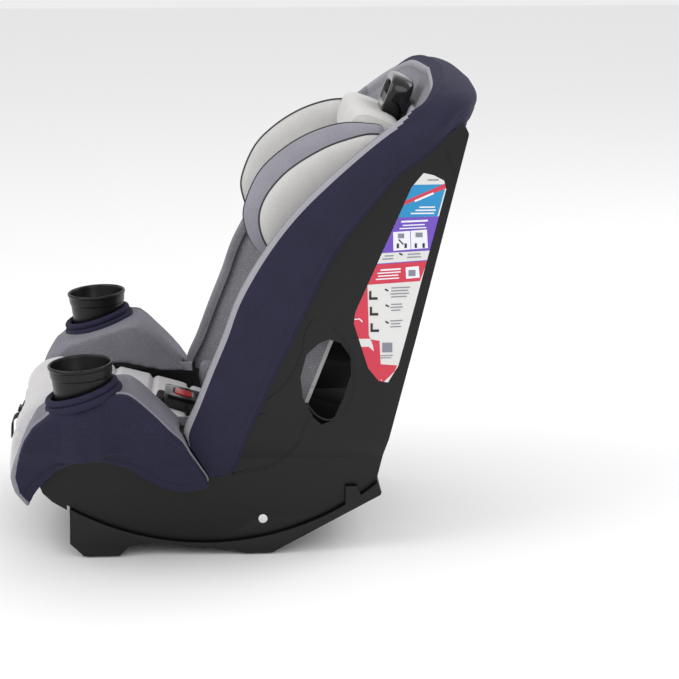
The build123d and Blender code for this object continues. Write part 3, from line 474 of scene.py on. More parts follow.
# ---- wing covers and rim: one section swept up the wing and round the top ----
wing = {
    # front edge and hem, in pairs from the arm upwards, (y, z) in mm
    "edge": [(-70, 158), (-72, 178), (-57, 214), (-40, 258), (-20, 307), (-1, 358), (34, 418),
             (75, 470), (127, 520), (178, 563), (217, 591)],
    "hem": [(-44, 109), (-14, 118), (4, 168), (24, 212), (44, 258), (66, 304), (90, 356),
            (124, 422), (158, 466), (196, 511), (240, 546)],
    # the same round the top, (x, y, z) in mm, ending at the middle
    "topEdge": [(188, 236, 604), (165, 248, 614), (118, 258, 621), (0, 266, 625)],
    "topHem": [(194, 266, 570), (178, 284, 574), (114, 294, 573), (0, 298, 570)],
    "sideCrown": 7.0,
    "backCrown": 32.0,
    "stitchIn": 10.0,
    "nose": 7.0,
    "rows": 15,          # rows between two pairs
    "seamPair": 9.3,     # where the rim piece is sewn on, in pairs from the first
    "turnFrom": 8.6,     # the side's crown turns into the top's from here, over so many pairs
    "turnOver": 2.4,
}


def wingStations():
    edge = [(wallX(z) + 1.5, y, z) for y, z in wing["edge"]] + wing["topEdge"]
    hem = [(wallX(z) + 1.0, y, z) for y, z in wing["hem"]] + wing["topHem"]
    count = (len(edge) - 1) * wing["rows"] + 1
    return pairedPath(edge, count), pairedPath(hem, count)


def wingSection(edge, hem, ahead, crown, skew):
    chord = hem - edge
    width = chord.length
    chord.normalize()
    out = chord.cross(ahead).normalized()
    nose = wing["nose"]
    ring = []
    steps = 30
    for k in range(steps + 1):                       # outer face, from the hem to the edge
        u = 1 - k / steps
        a = width * u
        b = 1.2 + crown * math.sin(math.pi * min(1, u ** (1 + skew) * 0.94 + 0.06)) ** 0.75
        fromHem = width - a
        b -= 1.3 * math.exp(-((fromHem - wing["stitchIn"]) / 1.6) ** 2)   # the seam pulls in
        b += 1.6 * math.exp(-((fromHem - 1.5) / 2.2) ** 2)                # rolled hem
        ring.append(edge + chord * a + out * b)
    for k in range(1, 7):                            # rounded front edge, turned in
        t = math.radians(90 + 30 * k)
        ring.append(edge + chord * (nose * (0.35 + math.cos(t)) * 0.9)
                    + out * (nose * (math.sin(t) - 0.75)))
    ring.append(edge + chord * 9 - out * (nose * 1.75))
    ring.append(edge + chord * 9 - out * 1.0)
    ring.append(edge + chord * (width * 0.5) + out * 0.3)
    ring.append(hem + out * 0.2)
    return [p * mm for p in ring]


def buildWings():
    edges, hems = wingStations()
    total = len(edges)
    seamAt = wing["seamPair"] * wing["rows"]
    rings = []
    for i, (edge, hem) in enumerate(zip(edges, hems)):
        ahead = edges[min(i + 1, total - 1)] - edges[max(i - 1, 0)]
        if i == total - 1:
            ahead = Vector((-1, 0, 0))
        gone = (i - wing["turnFrom"] * wing["rows"]) / (wing["turnOver"] * wing["rows"])
        share = max(0.0, min(1.0, gone))
        crown = wing["sideCrown"]
        crown += (wing["backCrown"] - wing["sideCrown"]) * share * share * (3 - 2 * share)
        crown *= min(1.0, 0.35 + i / wing["rows"] * 0.5)
        crown -= 2.2 * math.exp(-((i - seamAt) / 1.1) ** 2)
        rings.append(wingSection(edge, hem, ahead, crown, 0.45 * share))
    cut = int(seamAt)

    def wingMark(i, j):
        # navy outside, a thin lining-grey edge, mesh round the nose
        if 29 <= j < 32:
            return 1
        return 2 if 32 <= j < 38 else 0

    left = loft("sideCoverLeft", rings[:cut + 1], faceMaterial=wingMark)
    smoothShade(left, 60)
    right = mirrorCopy(left, "sideCoverRight")
    cloths = [navyWeave, liningGrey, ribMesh]
    finishPiece(left, "seat", cloths, ["side_cover_left"])
    finishPiece(right, "seat", cloths, ["side_cover_right"])
    half = rings[cut:]
    other = [[Vector((-p.x, p.y, p.z)) for p in ring] for ring in reversed(half[:-1])]
    last = 2 * len(half) - 3

    def rimMark(i, j):
        # the wings' grey edge runs out on to the rim and tapers away
        return 1 if 29 + min(4, min(i, last - i) // 3) <= j < 40 else 0

    rim = loft("rimCover", half + other, faceMaterial=rimMark)
    smoothShade(rim, 60)
    finishPiece(rim, "seat", [navyWeave, liningGrey], ["rim_cover"])

    # piping along the hem
    hemPath = [h + Vector((2.0, 0, 0)) for h in hems[4:-20:3]]
    for side, sign in (("Left", 1), ("Right", -1)):
        pipe = tube(f"hemPiping{side}", [Vector((p.x * sign, p.y, p.z)) * mm for p in hemPath], 1.9 * mm)
        finishPiece(pipe, "seat", [navyPiping])
    print("wings done")
    return edges


wingEdges = buildWings()


# ---- lining inside the wings and the rim ----
def buildLining():
    count = len(wingEdges)
    rings = []
    for i in range(wing["rows"] // 3, count):
        edge = wingEdges[i]
        reach = (edge.z - 158) / (630 - 158)
        s = 14 + 476 * min(1.0, max(0.0, reach))
        inside = 139 + 6 * reach
        atBack = min(1.0, max(0.0, (i - 10.2 * wing["rows"]) / (3.0 * wing["rows"])))
        y, z = onBack(s, 9 - 7 * atBack)
        target = Vector((inside * (1 - atBack) + edge.x * 0.7 * atBack, y, z))
        ahead = (wingEdges[min(i + 1, count - 1)] - wingEdges[max(i - 1, 0)]).normalized()
        start = edge + (target - edge).normalized() * 3
        chord = target - start
        width = chord.length
        chord.normalize()
        inward = ahead.cross(chord).normalized()
        if inward.x > 0 and atBack < 0.5:
            inward = -inward
        ring = []
        steps = 22
        for k in range(steps + 1):
            u = k / steps
            puff = 7.0 * math.sin(math.pi * u) ** 0.8 - 2.0 * math.exp(-((u * width - 16) / 2.0) ** 2)
            ring.append(start + chord * (width * u) + inward * puff * (1 - 0.95 * atBack))
        ring.append(target - inward * 5)
        ring.append(start + chord * 8 - inward * 5)
        rings.append([p * mm for p in ring])
    other = [[Vector((-p.x, p.y, p.z)) for p in ring] for ring in reversed(rings[:-1])]
    lining = loft("wingLining", rings + other, faceMaterial=lambda i, j: 1)
    smoothShade(lining, 60)
    finishPiece(lining, "seat", [liningGrey, ribMesh],
                ["side_bolster_left", "side_bolster_right"])
    print("lining done")


buildLining()


# ---- quilted pads: seat with its front apron, and the backrest ----
quilting = {
    # depth and half width of the cross grooves and of the two long seams, mm
    "groove": (6.5, 3.2), "seam": (4.5, 3.0),
    "seamAt": 0.55,      # share of the half width
    "across": 34,        # faces across the upper side
}


def padAlong(name, path, halfWidths, thickness, grooves, crown):
    # path holds (y, z) of the pad's underside in mm, running up or to the rear;
    # half widths and thicknesses are spaced evenly along it
    grooveDeep, grooveWide = quilting["groove"]
    seamDeep, seamWide = quilting["seam"]
    across = quilting["across"]
    points = smoothPath([(0, y, z) for y, z in path], 150)
    total = sum((b - a).length for a, b in zip(points, points[1:]))
    rings, gone = [], 0.0
    for i, p in enumerate(points):
        if i:
            gone += (p - points[i - 1]).length
        ahead = (points[min(i + 1, 149)] - points[max(i - 1, 0)]).normalized()
        out = Vector((0, -ahead.z, ahead.y))
        u = gone / total
        place = u * (len(halfWidths) - 1)
        k = min(int(place), len(halfWidths) - 2)
        half = halfWidths[k] + (halfWidths[k + 1] - halfWidths[k]) * (place - k)
        deep = np.interp(u, np.linspace(0, 1, len(thickness)), thickness)
        ends = (1 - abs(2 * u - 1) ** 14) ** 0.5
        groove = sum(math.exp(-((gone - g) / grooveWide) ** 2) for g in grooves)
        ring = []
        for j in range(across + 1):
            v = 2 * j / across - 1
            shape = (1 - abs(v) ** 14) ** 0.5
            h = (deep - crown * (1 - v * v)) * shape * max(ends, 0.02) - grooveDeep * groove * shape
            h -= seamDeep * math.exp(-((abs(v) - quilting["seamAt"]) * half / seamWide) ** 2) * ends
            ring.append(p + Vector((half * v, 0, 0)) + out * max(h, 0.6))
        for j in range(across - 1, 0, -6):
            v = 2 * j / across - 1
            ring.append(p + Vector((half * v * 0.98, 0, 0)) - out * 0.2)
        rings.append([q * mm for q in ring])
    pad = loft(name, rings)
    smoothShade(pad, 70)
    return pad


seatQuilt = {
    "path": [(-298, 82), (-289, 112), (-281, 140), (-272, 164), onPan(215, -1), onPan(190, 1),
             onPan(100, 1), onPan(0, 1), (0, 112), (38, 113)],
    "half": [124, 127, 128, 129, 130, 134, 139, 140],
    "thickness": [24, 28, 33, 37, 40, 41, 41, 37, 34, 34],
    "grooves": [74, 114, 178, 232, 286, 344],
    "crown": 7.0,
}


def buildPads():
    pad = padAlong("seatQuiltedPad", seatQuilt["path"], seatQuilt["half"], seatQuilt["thickness"],
                   seatQuilt["grooves"], seatQuilt["crown"])
    finishPiece(pad, "seat", [padKnit], ["seat_pad", "front_apron"])
    backPath = [onBack(16, 0.5), onBack(100, 0.5), onBack(184, 0.5)]
    back = padAlong("backQuiltedPad", backPath, [136, 138, 138], [27, 27], [40, 84, 128], 1.5)
    finishPiece(back, "seat", [padKnit], ["backrest_pad"])
    print("pads done")


gusset = {
    # soft roll beside the pad's rear half, along the pan; from, reach, height over the pan, mm
    "from": -70, "reach": 92, "over": 44, "x": 149, "halfWide": 11, "halfHigh": 25,
    # cloth down the inner wall of the arm box, from its front to its rear
    "panelX": 134.6, "panelFrom": -236, "panelLong": 168, "panelLow": 18, "panelTop": 184,
    "panelShape": [(2.2, 0), (-1.6, 0.02), (-2.2, 0.5), (-1.6, 0.97), (0, 1), (2.2, 1)],
    "rows": 30,
}


def buildGussets():
    for side, sign in (("Left", 1), ("Right", -1)):
        rings = []
        for k in range(gusset["rows"] + 1):
            u = k / gusset["rows"]
            slim = (1 - abs(2 * u - 1) ** 8) ** 0.5 + 0.05
            y, z = onPan(gusset["from"] + gusset["reach"] * u, gusset["over"])
            ring = []
            for n in range(20):
                t = 2 * math.pi * n / 20
                x = gusset["x"] + gusset["halfWide"] * math.cos(t) * slim
                ring.append(Vector((sign * x, y, z + gusset["halfHigh"] * math.sin(t) * slim)) * mm)
            rings.append(ring)
        roll = loft(f"seatGusset{side}", rings)
        fixNormals(roll)
        finishPiece(roll, "seat", [ribMesh])

        rings = []
        for k in range(gusset["rows"] + 1):
            y = gusset["panelFrom"] + gusset["panelLong"] * k / gusset["rows"]
            low = onPan((panStart[0] - y) / math.cos(panSlope), gusset["panelLow"])[1]
            high = gusset["panelTop"] - low
            rings.append([Vector((sign * (gusset["panelX"] + dx), y, low + high * up)) * mm
                          for dx, up in gusset["panelShape"]])
        panel = loft(f"armBoxPanel{side}", rings)
        fixNormals(panel)
        smoothShade(panel, 50)
        finishPiece(panel, "seat", [ribMesh])
    print("gussets done")


buildPads()
buildGussets()


# ---- harness webbing ----
webbing = {
    # node: (centres across, width, what it lies on, route in (y, z)), mm
    "harness_strap": ((62, -62), 38, "backQuiltedPad",
                      [onBack(199, -1), onBack(199, 20), onBack(190, 29.5), onBack(180, 28.6),
                       onBack(40, 28.6), (38, 152), (26, 142), (6, 140)]),
    "back_strap": ((62, -62), 38, "seat_shell",
                   [onBack(199, -1.4), onBack(199, -5), onBack(186, -5), onBack(180, -1.8),
                    onBack(88, -1.8), onBack(80.2, -5)]),
    "crotch_strap": ((0,), 38, "seatQuiltedPad", [onPan(80, -6), onPan(80, 44.3), onPan(72.1, 44.3)]),
    "adjuster_strap": ((0,), 25, "seat_shell",
                       [onBack(60.8, -5), onBack(0, -9), (46, 99), (-50, 103), onPan(192, -9),
                        (-262, 150), (-301, 150), (-311, 149), (-316, 142), (-317, 120)]),
}
# the webbing's section: across in half widths, and off its middle in mm
webbingSection = [(-1, -0.4), (-0.96, -0.8), (-0.3, -0.8), (0.3, -0.8), (0.96, -0.8), (1, -0.4),
                  (1, 0.4), (0.96, 0.8), (0.3, 0.8), (-0.3, 0.8), (-0.96, 0.8), (-1, 0.4)]


def buildWebbing():
    for node, (centres, width, under, route) in webbing.items():
        path = [Vector((0, y, z)) for y, z in route]
        for _ in range(3):                           # corners cut until they bend as webbing does
            cut = [path[0]]
            for p, q in zip(path, path[1:]):
                reach = min(0.25, 4.0 / max((q - p).length, 0.01))
                cut += [p.lerp(q, reach), p.lerp(q, 1 - reach)]
            path = cut + [path[-1]]
        path = [p for k, p in enumerate(path) if not k or (p - path[k - 1]).length > 0.01]
        names = [node] if len(centres) == 1 else [f"{node}_left", f"{node}_right"]
        for name, centre in zip(names, centres):
            rings = []
            for i, p in enumerate(path):
                ahead = (path[min(i + 1, len(path) - 1)] - path[max(i - 1, 0)]).normalized()
                out = Vector((0, -ahead.z, ahead.y))
                rings.append([(p + Vector((centre + v * width / 2, 0, 0)) + out * lift) * mm
                              for v, lift in webbingSection])
            strap = loft(camelName(name), rings)
            smoothShade(strap, 40)
            finishPiece(strap, "seat", [blackWebbing], [name])


buildWebbing()


# ---- soft covers grown from the CAD solids ----
def softCopy(node, name, voxel, smoothing, grow=0.0, extra=None):
    # the CAD solid with its edges worn round, as foam under cloth shows it
    mesh = frame["nodes"][node].data.copy()
    mesh.name = name
    copy = bpy.data.objects.new(name, mesh)
    bpy.context.collection.objects.link(copy)
    fixNormals(copy)
    if extra:
        pick(copy)
        extra.select_set(True)
        bpy.ops.object.join()
    remesh = copy.modifiers.new("remesh", "REMESH")
    remesh.mode = "VOXEL"
    remesh.voxel_size = voxel
    smooth = copy.modifiers.new("smooth", "SMOOTH")
    smooth.factor = 0.5
    smooth.iterations = smoothing
    if grow:
        puff = copy.modifiers.new("puff", "DISPLACE")
        puff.mid_level = 0
        puff.strength = grow
    finer = copy.modifiers.new("finer", "SUBSURF")
    finer.levels = finer.render_levels = 1
    applyModifiers(copy)
    for polygon in copy.data.polygons:
        polygon.use_smooth = True
    return copy


def meshPoints(obj):
    co = np.empty(len(obj.data.vertices) * 3)
    obj.data.vertices.foreach_get("co", co)
    normals = np.empty(len(obj.data.vertices) * 3)
    obj.data.vertices.foreach_get("normal", normals)
    return co.reshape(-1, 3), normals.reshape(-1, 3)


def movePoints(obj, co):
    obj.data.vertices.foreach_set("co", co.reshape(-1))
    obj.data.update()


def lineDistance(points, line):
    # distance from each point to a broken line
    best = np.full(len(points), 1e9)
    for a, b in zip(line, line[1:]):
        step = b - a
        t = np.clip(((points - a) @ step) / (step @ step), 0, 1)
        best = np.minimum(best, np.linalg.norm(points - (a + t[:, None] * step), axis=1))
    return best


def storeZone(obj, values):
    attribute = obj.data.attributes.new("zone", "FLOAT", "POINT")
    attribute.data.foreach_set("value", values)


arm = {
    "hem": [(-299, 98), (-284, 76), (-275, 96), (-260, 115), (-240, 135), (-211, 148), (-180, 147),
            (-152, 136), (-125, 115), (-97, 97), (-74, 94), (-47, 99)],
    "section": [(170, 60), (182, 100), (198, 136), (224, 168), (236, 192), (238, 240)],
    "topIn": 14.0,       # grey starts this far in from the outer face
    "strip": 6.0,
    # the cover's front edge, (z, y), and how far behind it the navy side starts
    "front": [(76, -284), (98, -299), (122, -303), (157, -296), (180, -290), (200, -283), (226, -272)],
    "frontIn": 7.0,
    "stitchIn": 11.0,
}
collar = {
    # radius, thickness and lift of the two rolls round a cup, mm
    "rolls": ((46.4, 5.4, -1.0), (44.4, 4.6, 8.0)),
    "place": (196.4, -203.9, 232.5), "tilt": math.radians(17.0),
}


def sectionX(z):
    for (xa, za), (xb, zb) in zip(arm["section"], arm["section"][1:]):
        if z <= zb:
            return xa + (xb - xa) * (z - za) / (zb - za)
    return arm["section"][-1][0]


def buildArms():
    # the cloth runs round outside the cup
    cheek = turned("cheek", [(42.8, -66), (47.4, -66), (47.4, 6), (42.8, 6), (42.8, -66)],
                   (196.4, -205.0, 222), 10.0, closed=True)
    left = softCopy("arm_cover_left", "armCoverLeft", 0.004, 6, grow=0.0008, extra=cheek)
    co, normals = meshPoints(left)
    hem = np.array([(sectionX(z), y, z) for y, z in arm["hem"]]) * mm
    fromHem = lineDistance(co, hem) * 1000
    x, y, z = co.T * 1000
    width = np.interp(z, [high for wide, high in arm["section"]], [wide for wide, high in arm["section"]])
    zone = x - (width - arm["topIn"])
    edge = np.interp(z, *zip(*arm["front"]))
    low = (z < 226) & (y < -200)
    zone = np.where(low, np.minimum(zone, y - edge - arm["frontIn"]), zone)
    outer = (zone > 0) & (normals[:, 0] > -0.3)
    push = 1.6 * np.exp(-((fromHem - 5) / 4.0) ** 2)
    push -= 1.5 * np.exp(-((fromHem - arm["stitchIn"]) / 1.7) ** 2)
    push *= outer
    push -= 1.2 * np.exp(-(zone / 1.8) ** 2)                        # seam pulled in
    push += 1.2 * np.exp(-((zone + arm["strip"] * 0.5) / 3.0) ** 2)   # piped strip beside it
    movePoints(left, co + normals * (push * mm)[:, None])
    storeZone(left, zone)
    right = mirrorCopy(left, "armCoverRight")
    finishPiece(left, "seat", [zonedCover], ["arm_cover_left"])
    finishPiece(right, "seat", [zonedCover], ["arm_cover_right"])

    print("arms done")


def buildCollars():
    # double roll round each cup
    x, y, z = collar["place"]
    tilt = collar["tilt"]
    for side, sign in (("left", 1), ("right", -1)):
        rolls = []
        for radius, thick, lift in collar["rolls"]:
            deselectAll()
            place = Vector((sign * x, y - math.sin(tilt) * lift, z + math.cos(tilt) * lift)) * mm
            bpy.ops.mesh.primitive_torus_add(
                major_segments=96, minor_segments=14, major_radius=radius * mm, minor_radius=thick * mm,
                location=place, rotation=(tilt, 0, 0))
            rolls.append(bpy.context.object)
        pick(rolls[0])
        rolls[1].select_set(True)
        bpy.ops.object.join()
        pair = bpy.context.object
        pair.name = f"cupCollar{side.title()}"
        bpy.ops.object.transform_apply(location=True, rotation=True, scale=True)
        bpy.ops.object.shade_smooth()
        finishPiece(pair, "seat", [navyPiping], [f"cup_collar_{side}"])
    print("cup collars done")


def turned(name, profile, place, tilt, closed=False):
    # a round piece drawn out of a circle, ring by ring, with flat ends
    deselectAll()
    bpy.ops.mesh.primitive_circle_add(vertices=96, radius=profile[0][0] * mm, fill_type="NGON",
                                      location=(0, 0, profile[0][1] * mm))
    piece = bpy.context.object
    bpy.ops.object.transform_apply(location=True, rotation=False, scale=False)
    bpy.ops.object.mode_set(mode="EDIT")
    bpy.ops.mesh.select_all(action="SELECT")
    bpy.ops.mesh.delete(type="ONLY_FACE")
    bpy.ops.mesh.select_all(action="SELECT")
    for (r0, z0), (r1, z1) in zip(profile, profile[1:]):
        bpy.ops.mesh.extrude_edges_move(TRANSFORM_OT_translate={"value": (0, 0, (z1 - z0) * mm)})
        bpy.ops.transform.resize(value=(r1 / r0, r1 / r0, 1), center_override=(0, 0, z1 * mm))
    if closed:
        bpy.ops.mesh.select_all(action="SELECT")
        bpy.ops.mesh.remove_doubles(threshold=0.0001)
    else:
        bpy.ops.mesh.edge_face_add()
        bpy.ops.mesh.select_all(action="DESELECT")
        bpy.ops.mesh.select_non_manifold()
        bpy.ops.mesh.edge_face_add()
    bpy.ops.mesh.select_all(action="SELECT")
    bpy.ops.mesh.normals_make_consistent(inside=False)
    bpy.ops.object.mode_set(mode="OBJECT")
    piece.name = name
    piece.location = Vector(place) * mm
    piece.rotation_euler = (math.radians(tilt), 0, 0)
    pick(piece)
    bpy.ops.object.transform_apply(location=True, rotation=True, scale=True)
    smoothShade(piece, 40)
    return piece


cup = {
    # radius and height below the rim, mm: foot, tapered wall, step, rolled rim, then down inside
    "profile": [(31.0, -84.0), (33.2, -83.6), (34.0, -82.4), (38.4, -17.2), (39.4, -16.4), (39.9, -14.6),
                (40.6, -5.4), (41.4, -4.6), (42.0, -3.6), (42.1, -2.0), (41.6, -0.6), (40.6, 0.0),
                (39.4, -0.2), (38.6, -1.2), (38.0, -3.6), (36.4, -16.6), (35.8, -18.0), (32.2, -79.0),
                (30.6, -81.0), (28.0, -81.6)],
    "place": (196.4, -206.7, 277.5), "tilt": 3.4,
}


def buildCups():
    for side, sign in (("left", 1), ("right", -1)):
        x, y, z = cup["place"]
        holder = turned(f"cupHolder{side.title()}", cup["profile"], (sign * x, y, z), cup["tilt"])
        finishPiece(holder, f"cup_{side}", [cupPlastic], [f"cup_holder_{side}"])
    print("cups done")


# ---- headrest ----
head = {
    # paired points (y, z) round a wing: the wide inner outline and the smaller outer one
    "inner": [(92, 390), (64, 384), (38, 392), (20, 408), (9, 432), (7, 460), (25, 503), (53, 532),
              (90, 555), (131, 568), (166, 568), (188, 560), (176, 520), (146, 448), (118, 400)],
    "outer": [(96, 402), (72, 396), (50, 400), (36, 412), (27, 434), (27, 459), (40, 486), (67, 514),
              (110, 540), (146, 553), (172, 558), (184, 552), (172, 516), (144, 450), (120, 408)],
    "innerX": 108.0, "outerX": 129.0,
    # dished inner face and domed outer face: share of the way to the middle, and x
    "innerFace": ((0.72, 93.0), (0.5, 93.6), (0.28, 95.4), (0.12, 99.0), (0.04, 103.5), (0.0, 108.0)),
    "outerFace": ((0.03, 132.0), (0.1, 135.5), (0.22, 138.2), (0.4, 140.0), (0.62, 140.6), (0.8, 140.8)),
    # padded top: half width, then its middle and half sizes along and off the back
    "topHalf": 104, "topMiddle": (438, 47), "topReach": (28, 38),
}
handle = {
    # middle along and off the back, half sizes of the loop and of its bar, mm
    "middle": (490, 26.5), "reach": (34, 20), "bar": (7.5, 15.5),
}


def closedPath(points, count):
    # even points round a closed outline
    n = len(points)
    wrapped = [Vector(p) for p in points[-2:] + points + points[:3]]
    result = []
    for k in range(count):
        place = n * k / count
        i = int(place)
        result.append(curvePoint(*wrapped[i + 1:i + 5], place - i))
    return result


def buildHeadWings():
    count = 120
    inner = closedPath([(head["innerX"], y, z) for y, z in head["inner"]], count)
    outer = closedPath([(head["outerX"], y, z) for y, z in head["outer"]], count)
    innerMid = sum(inner, Vector()) / count
    outerMid = sum(outer, Vector()) / count
    rings = []
    for inset, x in head["innerFace"]:
        rings.append([Vector((x, *(p.lerp(innerMid, inset)).yz)) for p in inner])
    for share in (0.12, 0.3, 0.5, 0.7, 0.88, 1.0):
        swell = 5.0 * math.sin(math.pi * share) ** 0.7
        row = []
        for p, q, ahead, behind in zip(inner, outer, inner[1:] + inner[:1], inner[-1:] + inner[:-1]):
            along = (ahead - behind).normalized()
            out = Vector((0, -along.z, along.y))
            if out.dot(p - innerMid) < 0:
                out = -out
            row.append(p.lerp(q, share) + out * swell * 0.75 + Vector((swell * 0.35, 0, 0)))
        rings.append(row)
    for inset, x in head["outerFace"]:
        rings.append([Vector((x, *(p.lerp(outerMid, inset)).yz)) for p in outer])
    rings = [[p * mm for p in ring] for ring in rings]
    band = range(5, 11)
    left = loft("headWingLeft", rings, faceMaterial=lambda i, j: 1 if i in band else 0)
    right = mirrorCopy(left, "headWingRight")
    for side, wingPiece in (("left", left), ("right", right)):
        finishPiece(wingPiece, "headrest", [headKnit, bandWeave],
                    [f"headrest_wing_{side}"])
    for side, sign in (("Left", 1), ("Right", -1)):
        for name, outline, shift in (("Inner", inner, -0.5), ("Outer", outer, 0.8)):
            path = [Vector((sign * (p.x + shift), p.y, p.z)) * mm for p in outline + outline[:1]]
            cord = tube(f"headPiping{name}{side}", path, 1.3 * mm, 8)
            finishPiece(cord, "headrest", [darkPiping])
    print("head wings done")


def buildHeadPad():
    # padded top between the wings, over the frame
    half = head["topHalf"]
    s, f = head["topMiddle"]
    long, thick = head["topReach"]
    rings = []
    for k in range(41):
        x = -half + 2 * half * k / 40
        swell = 1.0 - 0.12 * (x / half) ** 2
        ring = []
        for n in range(32):
            u, v = squarish(2 * math.pi * n / 32, 0.6)
            ring.append(Vector((x, *onBack(s + long * u * swell, f + thick * v * swell))) * mm)
        rings.append(ring)
    top = loft("headTopPad", rings)
    pad = softCopy("headrest_pad", "headBackPad", 0.004, 8)
    pick(top)
    pad.select_set(True)
    bpy.context.view_layer.objects.active = pad
    bpy.ops.object.join()
    finishPiece(pad, "headrest", [headKnit], ["headrest_pad"])
    print("head pad done")


def buildHandle():
    housing = bevelledCopy("handle_housing", "handleHousing", 0.003, 3)
    finishPiece(housing, "headrest", [shellPlastic], ["handle_housing"])

    # loop handle: a fat rounded bar run round a finger slot
    depth = Vector((0, *onBack(0, 1))) - Vector((0, *onBack(0, 0)))
    centre = []
    for k in range(97):
        u, v = squarish(2 * math.pi * k / 96 + 0.01, 0.55)
        y, z = onBack(handle["middle"][0] + v * handle["reach"][1], handle["middle"][1])
        centre.append(Vector((u * handle["reach"][0], y, z)))
    rings = []
    for k, p in enumerate(centre):
        ahead = (centre[(k + 1) % 96] - centre[(k - 1) % 96]).normalized()
        across = ahead.cross(depth).normalized()
        rings.append([(p + across * handle["bar"][0] * u + depth * handle["bar"][1] * v) * mm
                      for u, v in (squarish(2 * math.pi * n / 28, 0.6) for n in range(28))])
    loop = loft("releaseHandle", rings, caps=False)
    fixNormals(loop)
    smoothShade(loop, 50)
    finishPiece(loop, "headrest_handle", [glossAbs], ["headrest_handle"])
    print("release handle done")


def buildBackLiner():
    # cloth liner on the backrest
    liner = softCopy("backrest_liner", "backLiner", 0.004, 4)
    finishPiece(liner, "seat", [liningGrey], ["backrest_liner"])
    print("back liner done")


# ---- moulded parts ----
moulded = {
    # node: (body, finish, edge radius mm)
    "seat_shell": ("seat", "shell_plastic", 1.3), "base_tub": ("base", "base_plastic", 1.5),
    "lever_brackets": ("base", "base_plastic", 0.8),
    "recline_lever": ("recline_lever", "lever_plastic", 1.0),
    "headrest_frame": ("headrest", "shell_plastic", 0.8),
    "headrest_carriage": ("headrest", "shell_plastic", 1.2),
    "buckle_housing": ("seat", "buckle_plastic", 1.6),
    "buckle_button": ("buckle_button", "button_plastic", 0.6),
    "chest_clip": ("chest_clip", "buckle_plastic", 0.8), "adjuster_bezel": ("seat", "buckle_plastic", 0.5),
    "adjuster_button": ("adjuster_button", "button_plastic", 0.5),
    "buckle_tongue_left": ("tongue_left", "bright_steel", 0.3),
    "buckle_tongue_right": ("tongue_right", "bright_steel", 0.3),
    "splitter_plate": ("seat", "steel", 0.4),
}


def buildMoulded(slotMaterial):
    for node, (body, slot, radius) in moulded.items():
        piece = bevelledCopy(node, camelName(node), radius * mm)
        finish = cupPlastic if node == "adjuster_button" else slotMaterial[slot]   # its button is black
        finishPiece(piece, body, [finish], [node])
    print("moulded parts done")


def wallPoint(y, z, out=0.0, sign=1):
    return Vector((sign * (wallX(z) + out), y, z)) * mm


relief = {
    # raised beads on the shell's sides, (y, z) in mm, with the bead's radius
    "slotLip": ([(84, 214), (96, 198), (112, 190), (128, 196), (140, 214), (146, 240), (144, 268),
                 (134, 296), (118, 316)], 1.6),
    "bulgeEdge": ([(82, 308), (79, 286), (70, 262), (55, 239), (33, 219)], 1.8),
    "bulgeFoot": ([(90, 200), (82, 178), (73, 158), (58, 139), (38, 123), (12, 116), (-14, 112)], 2.2),
    "rearCrease": ([(262, 546), (268, 530), (274, 514)], 1.6),
    "coverLedge": ([(96, 330), (88, 322), (83, 312)], 1.6),
}


def buildRelief():
    for name, (path, radius) in relief.items():
        for side, sign in (("Left", 1), ("Right", -1)):
            points = smoothPath([(0, y, z) for y, z in path], 60)
            bead = tube(f"{name}{side}", [wallPoint(p.y, p.z, -radius * 0.55, sign) for p in points],
                        radius * mm, 10)
            finishPiece(bead, "seat", [shellPlastic])
    print("relief done")


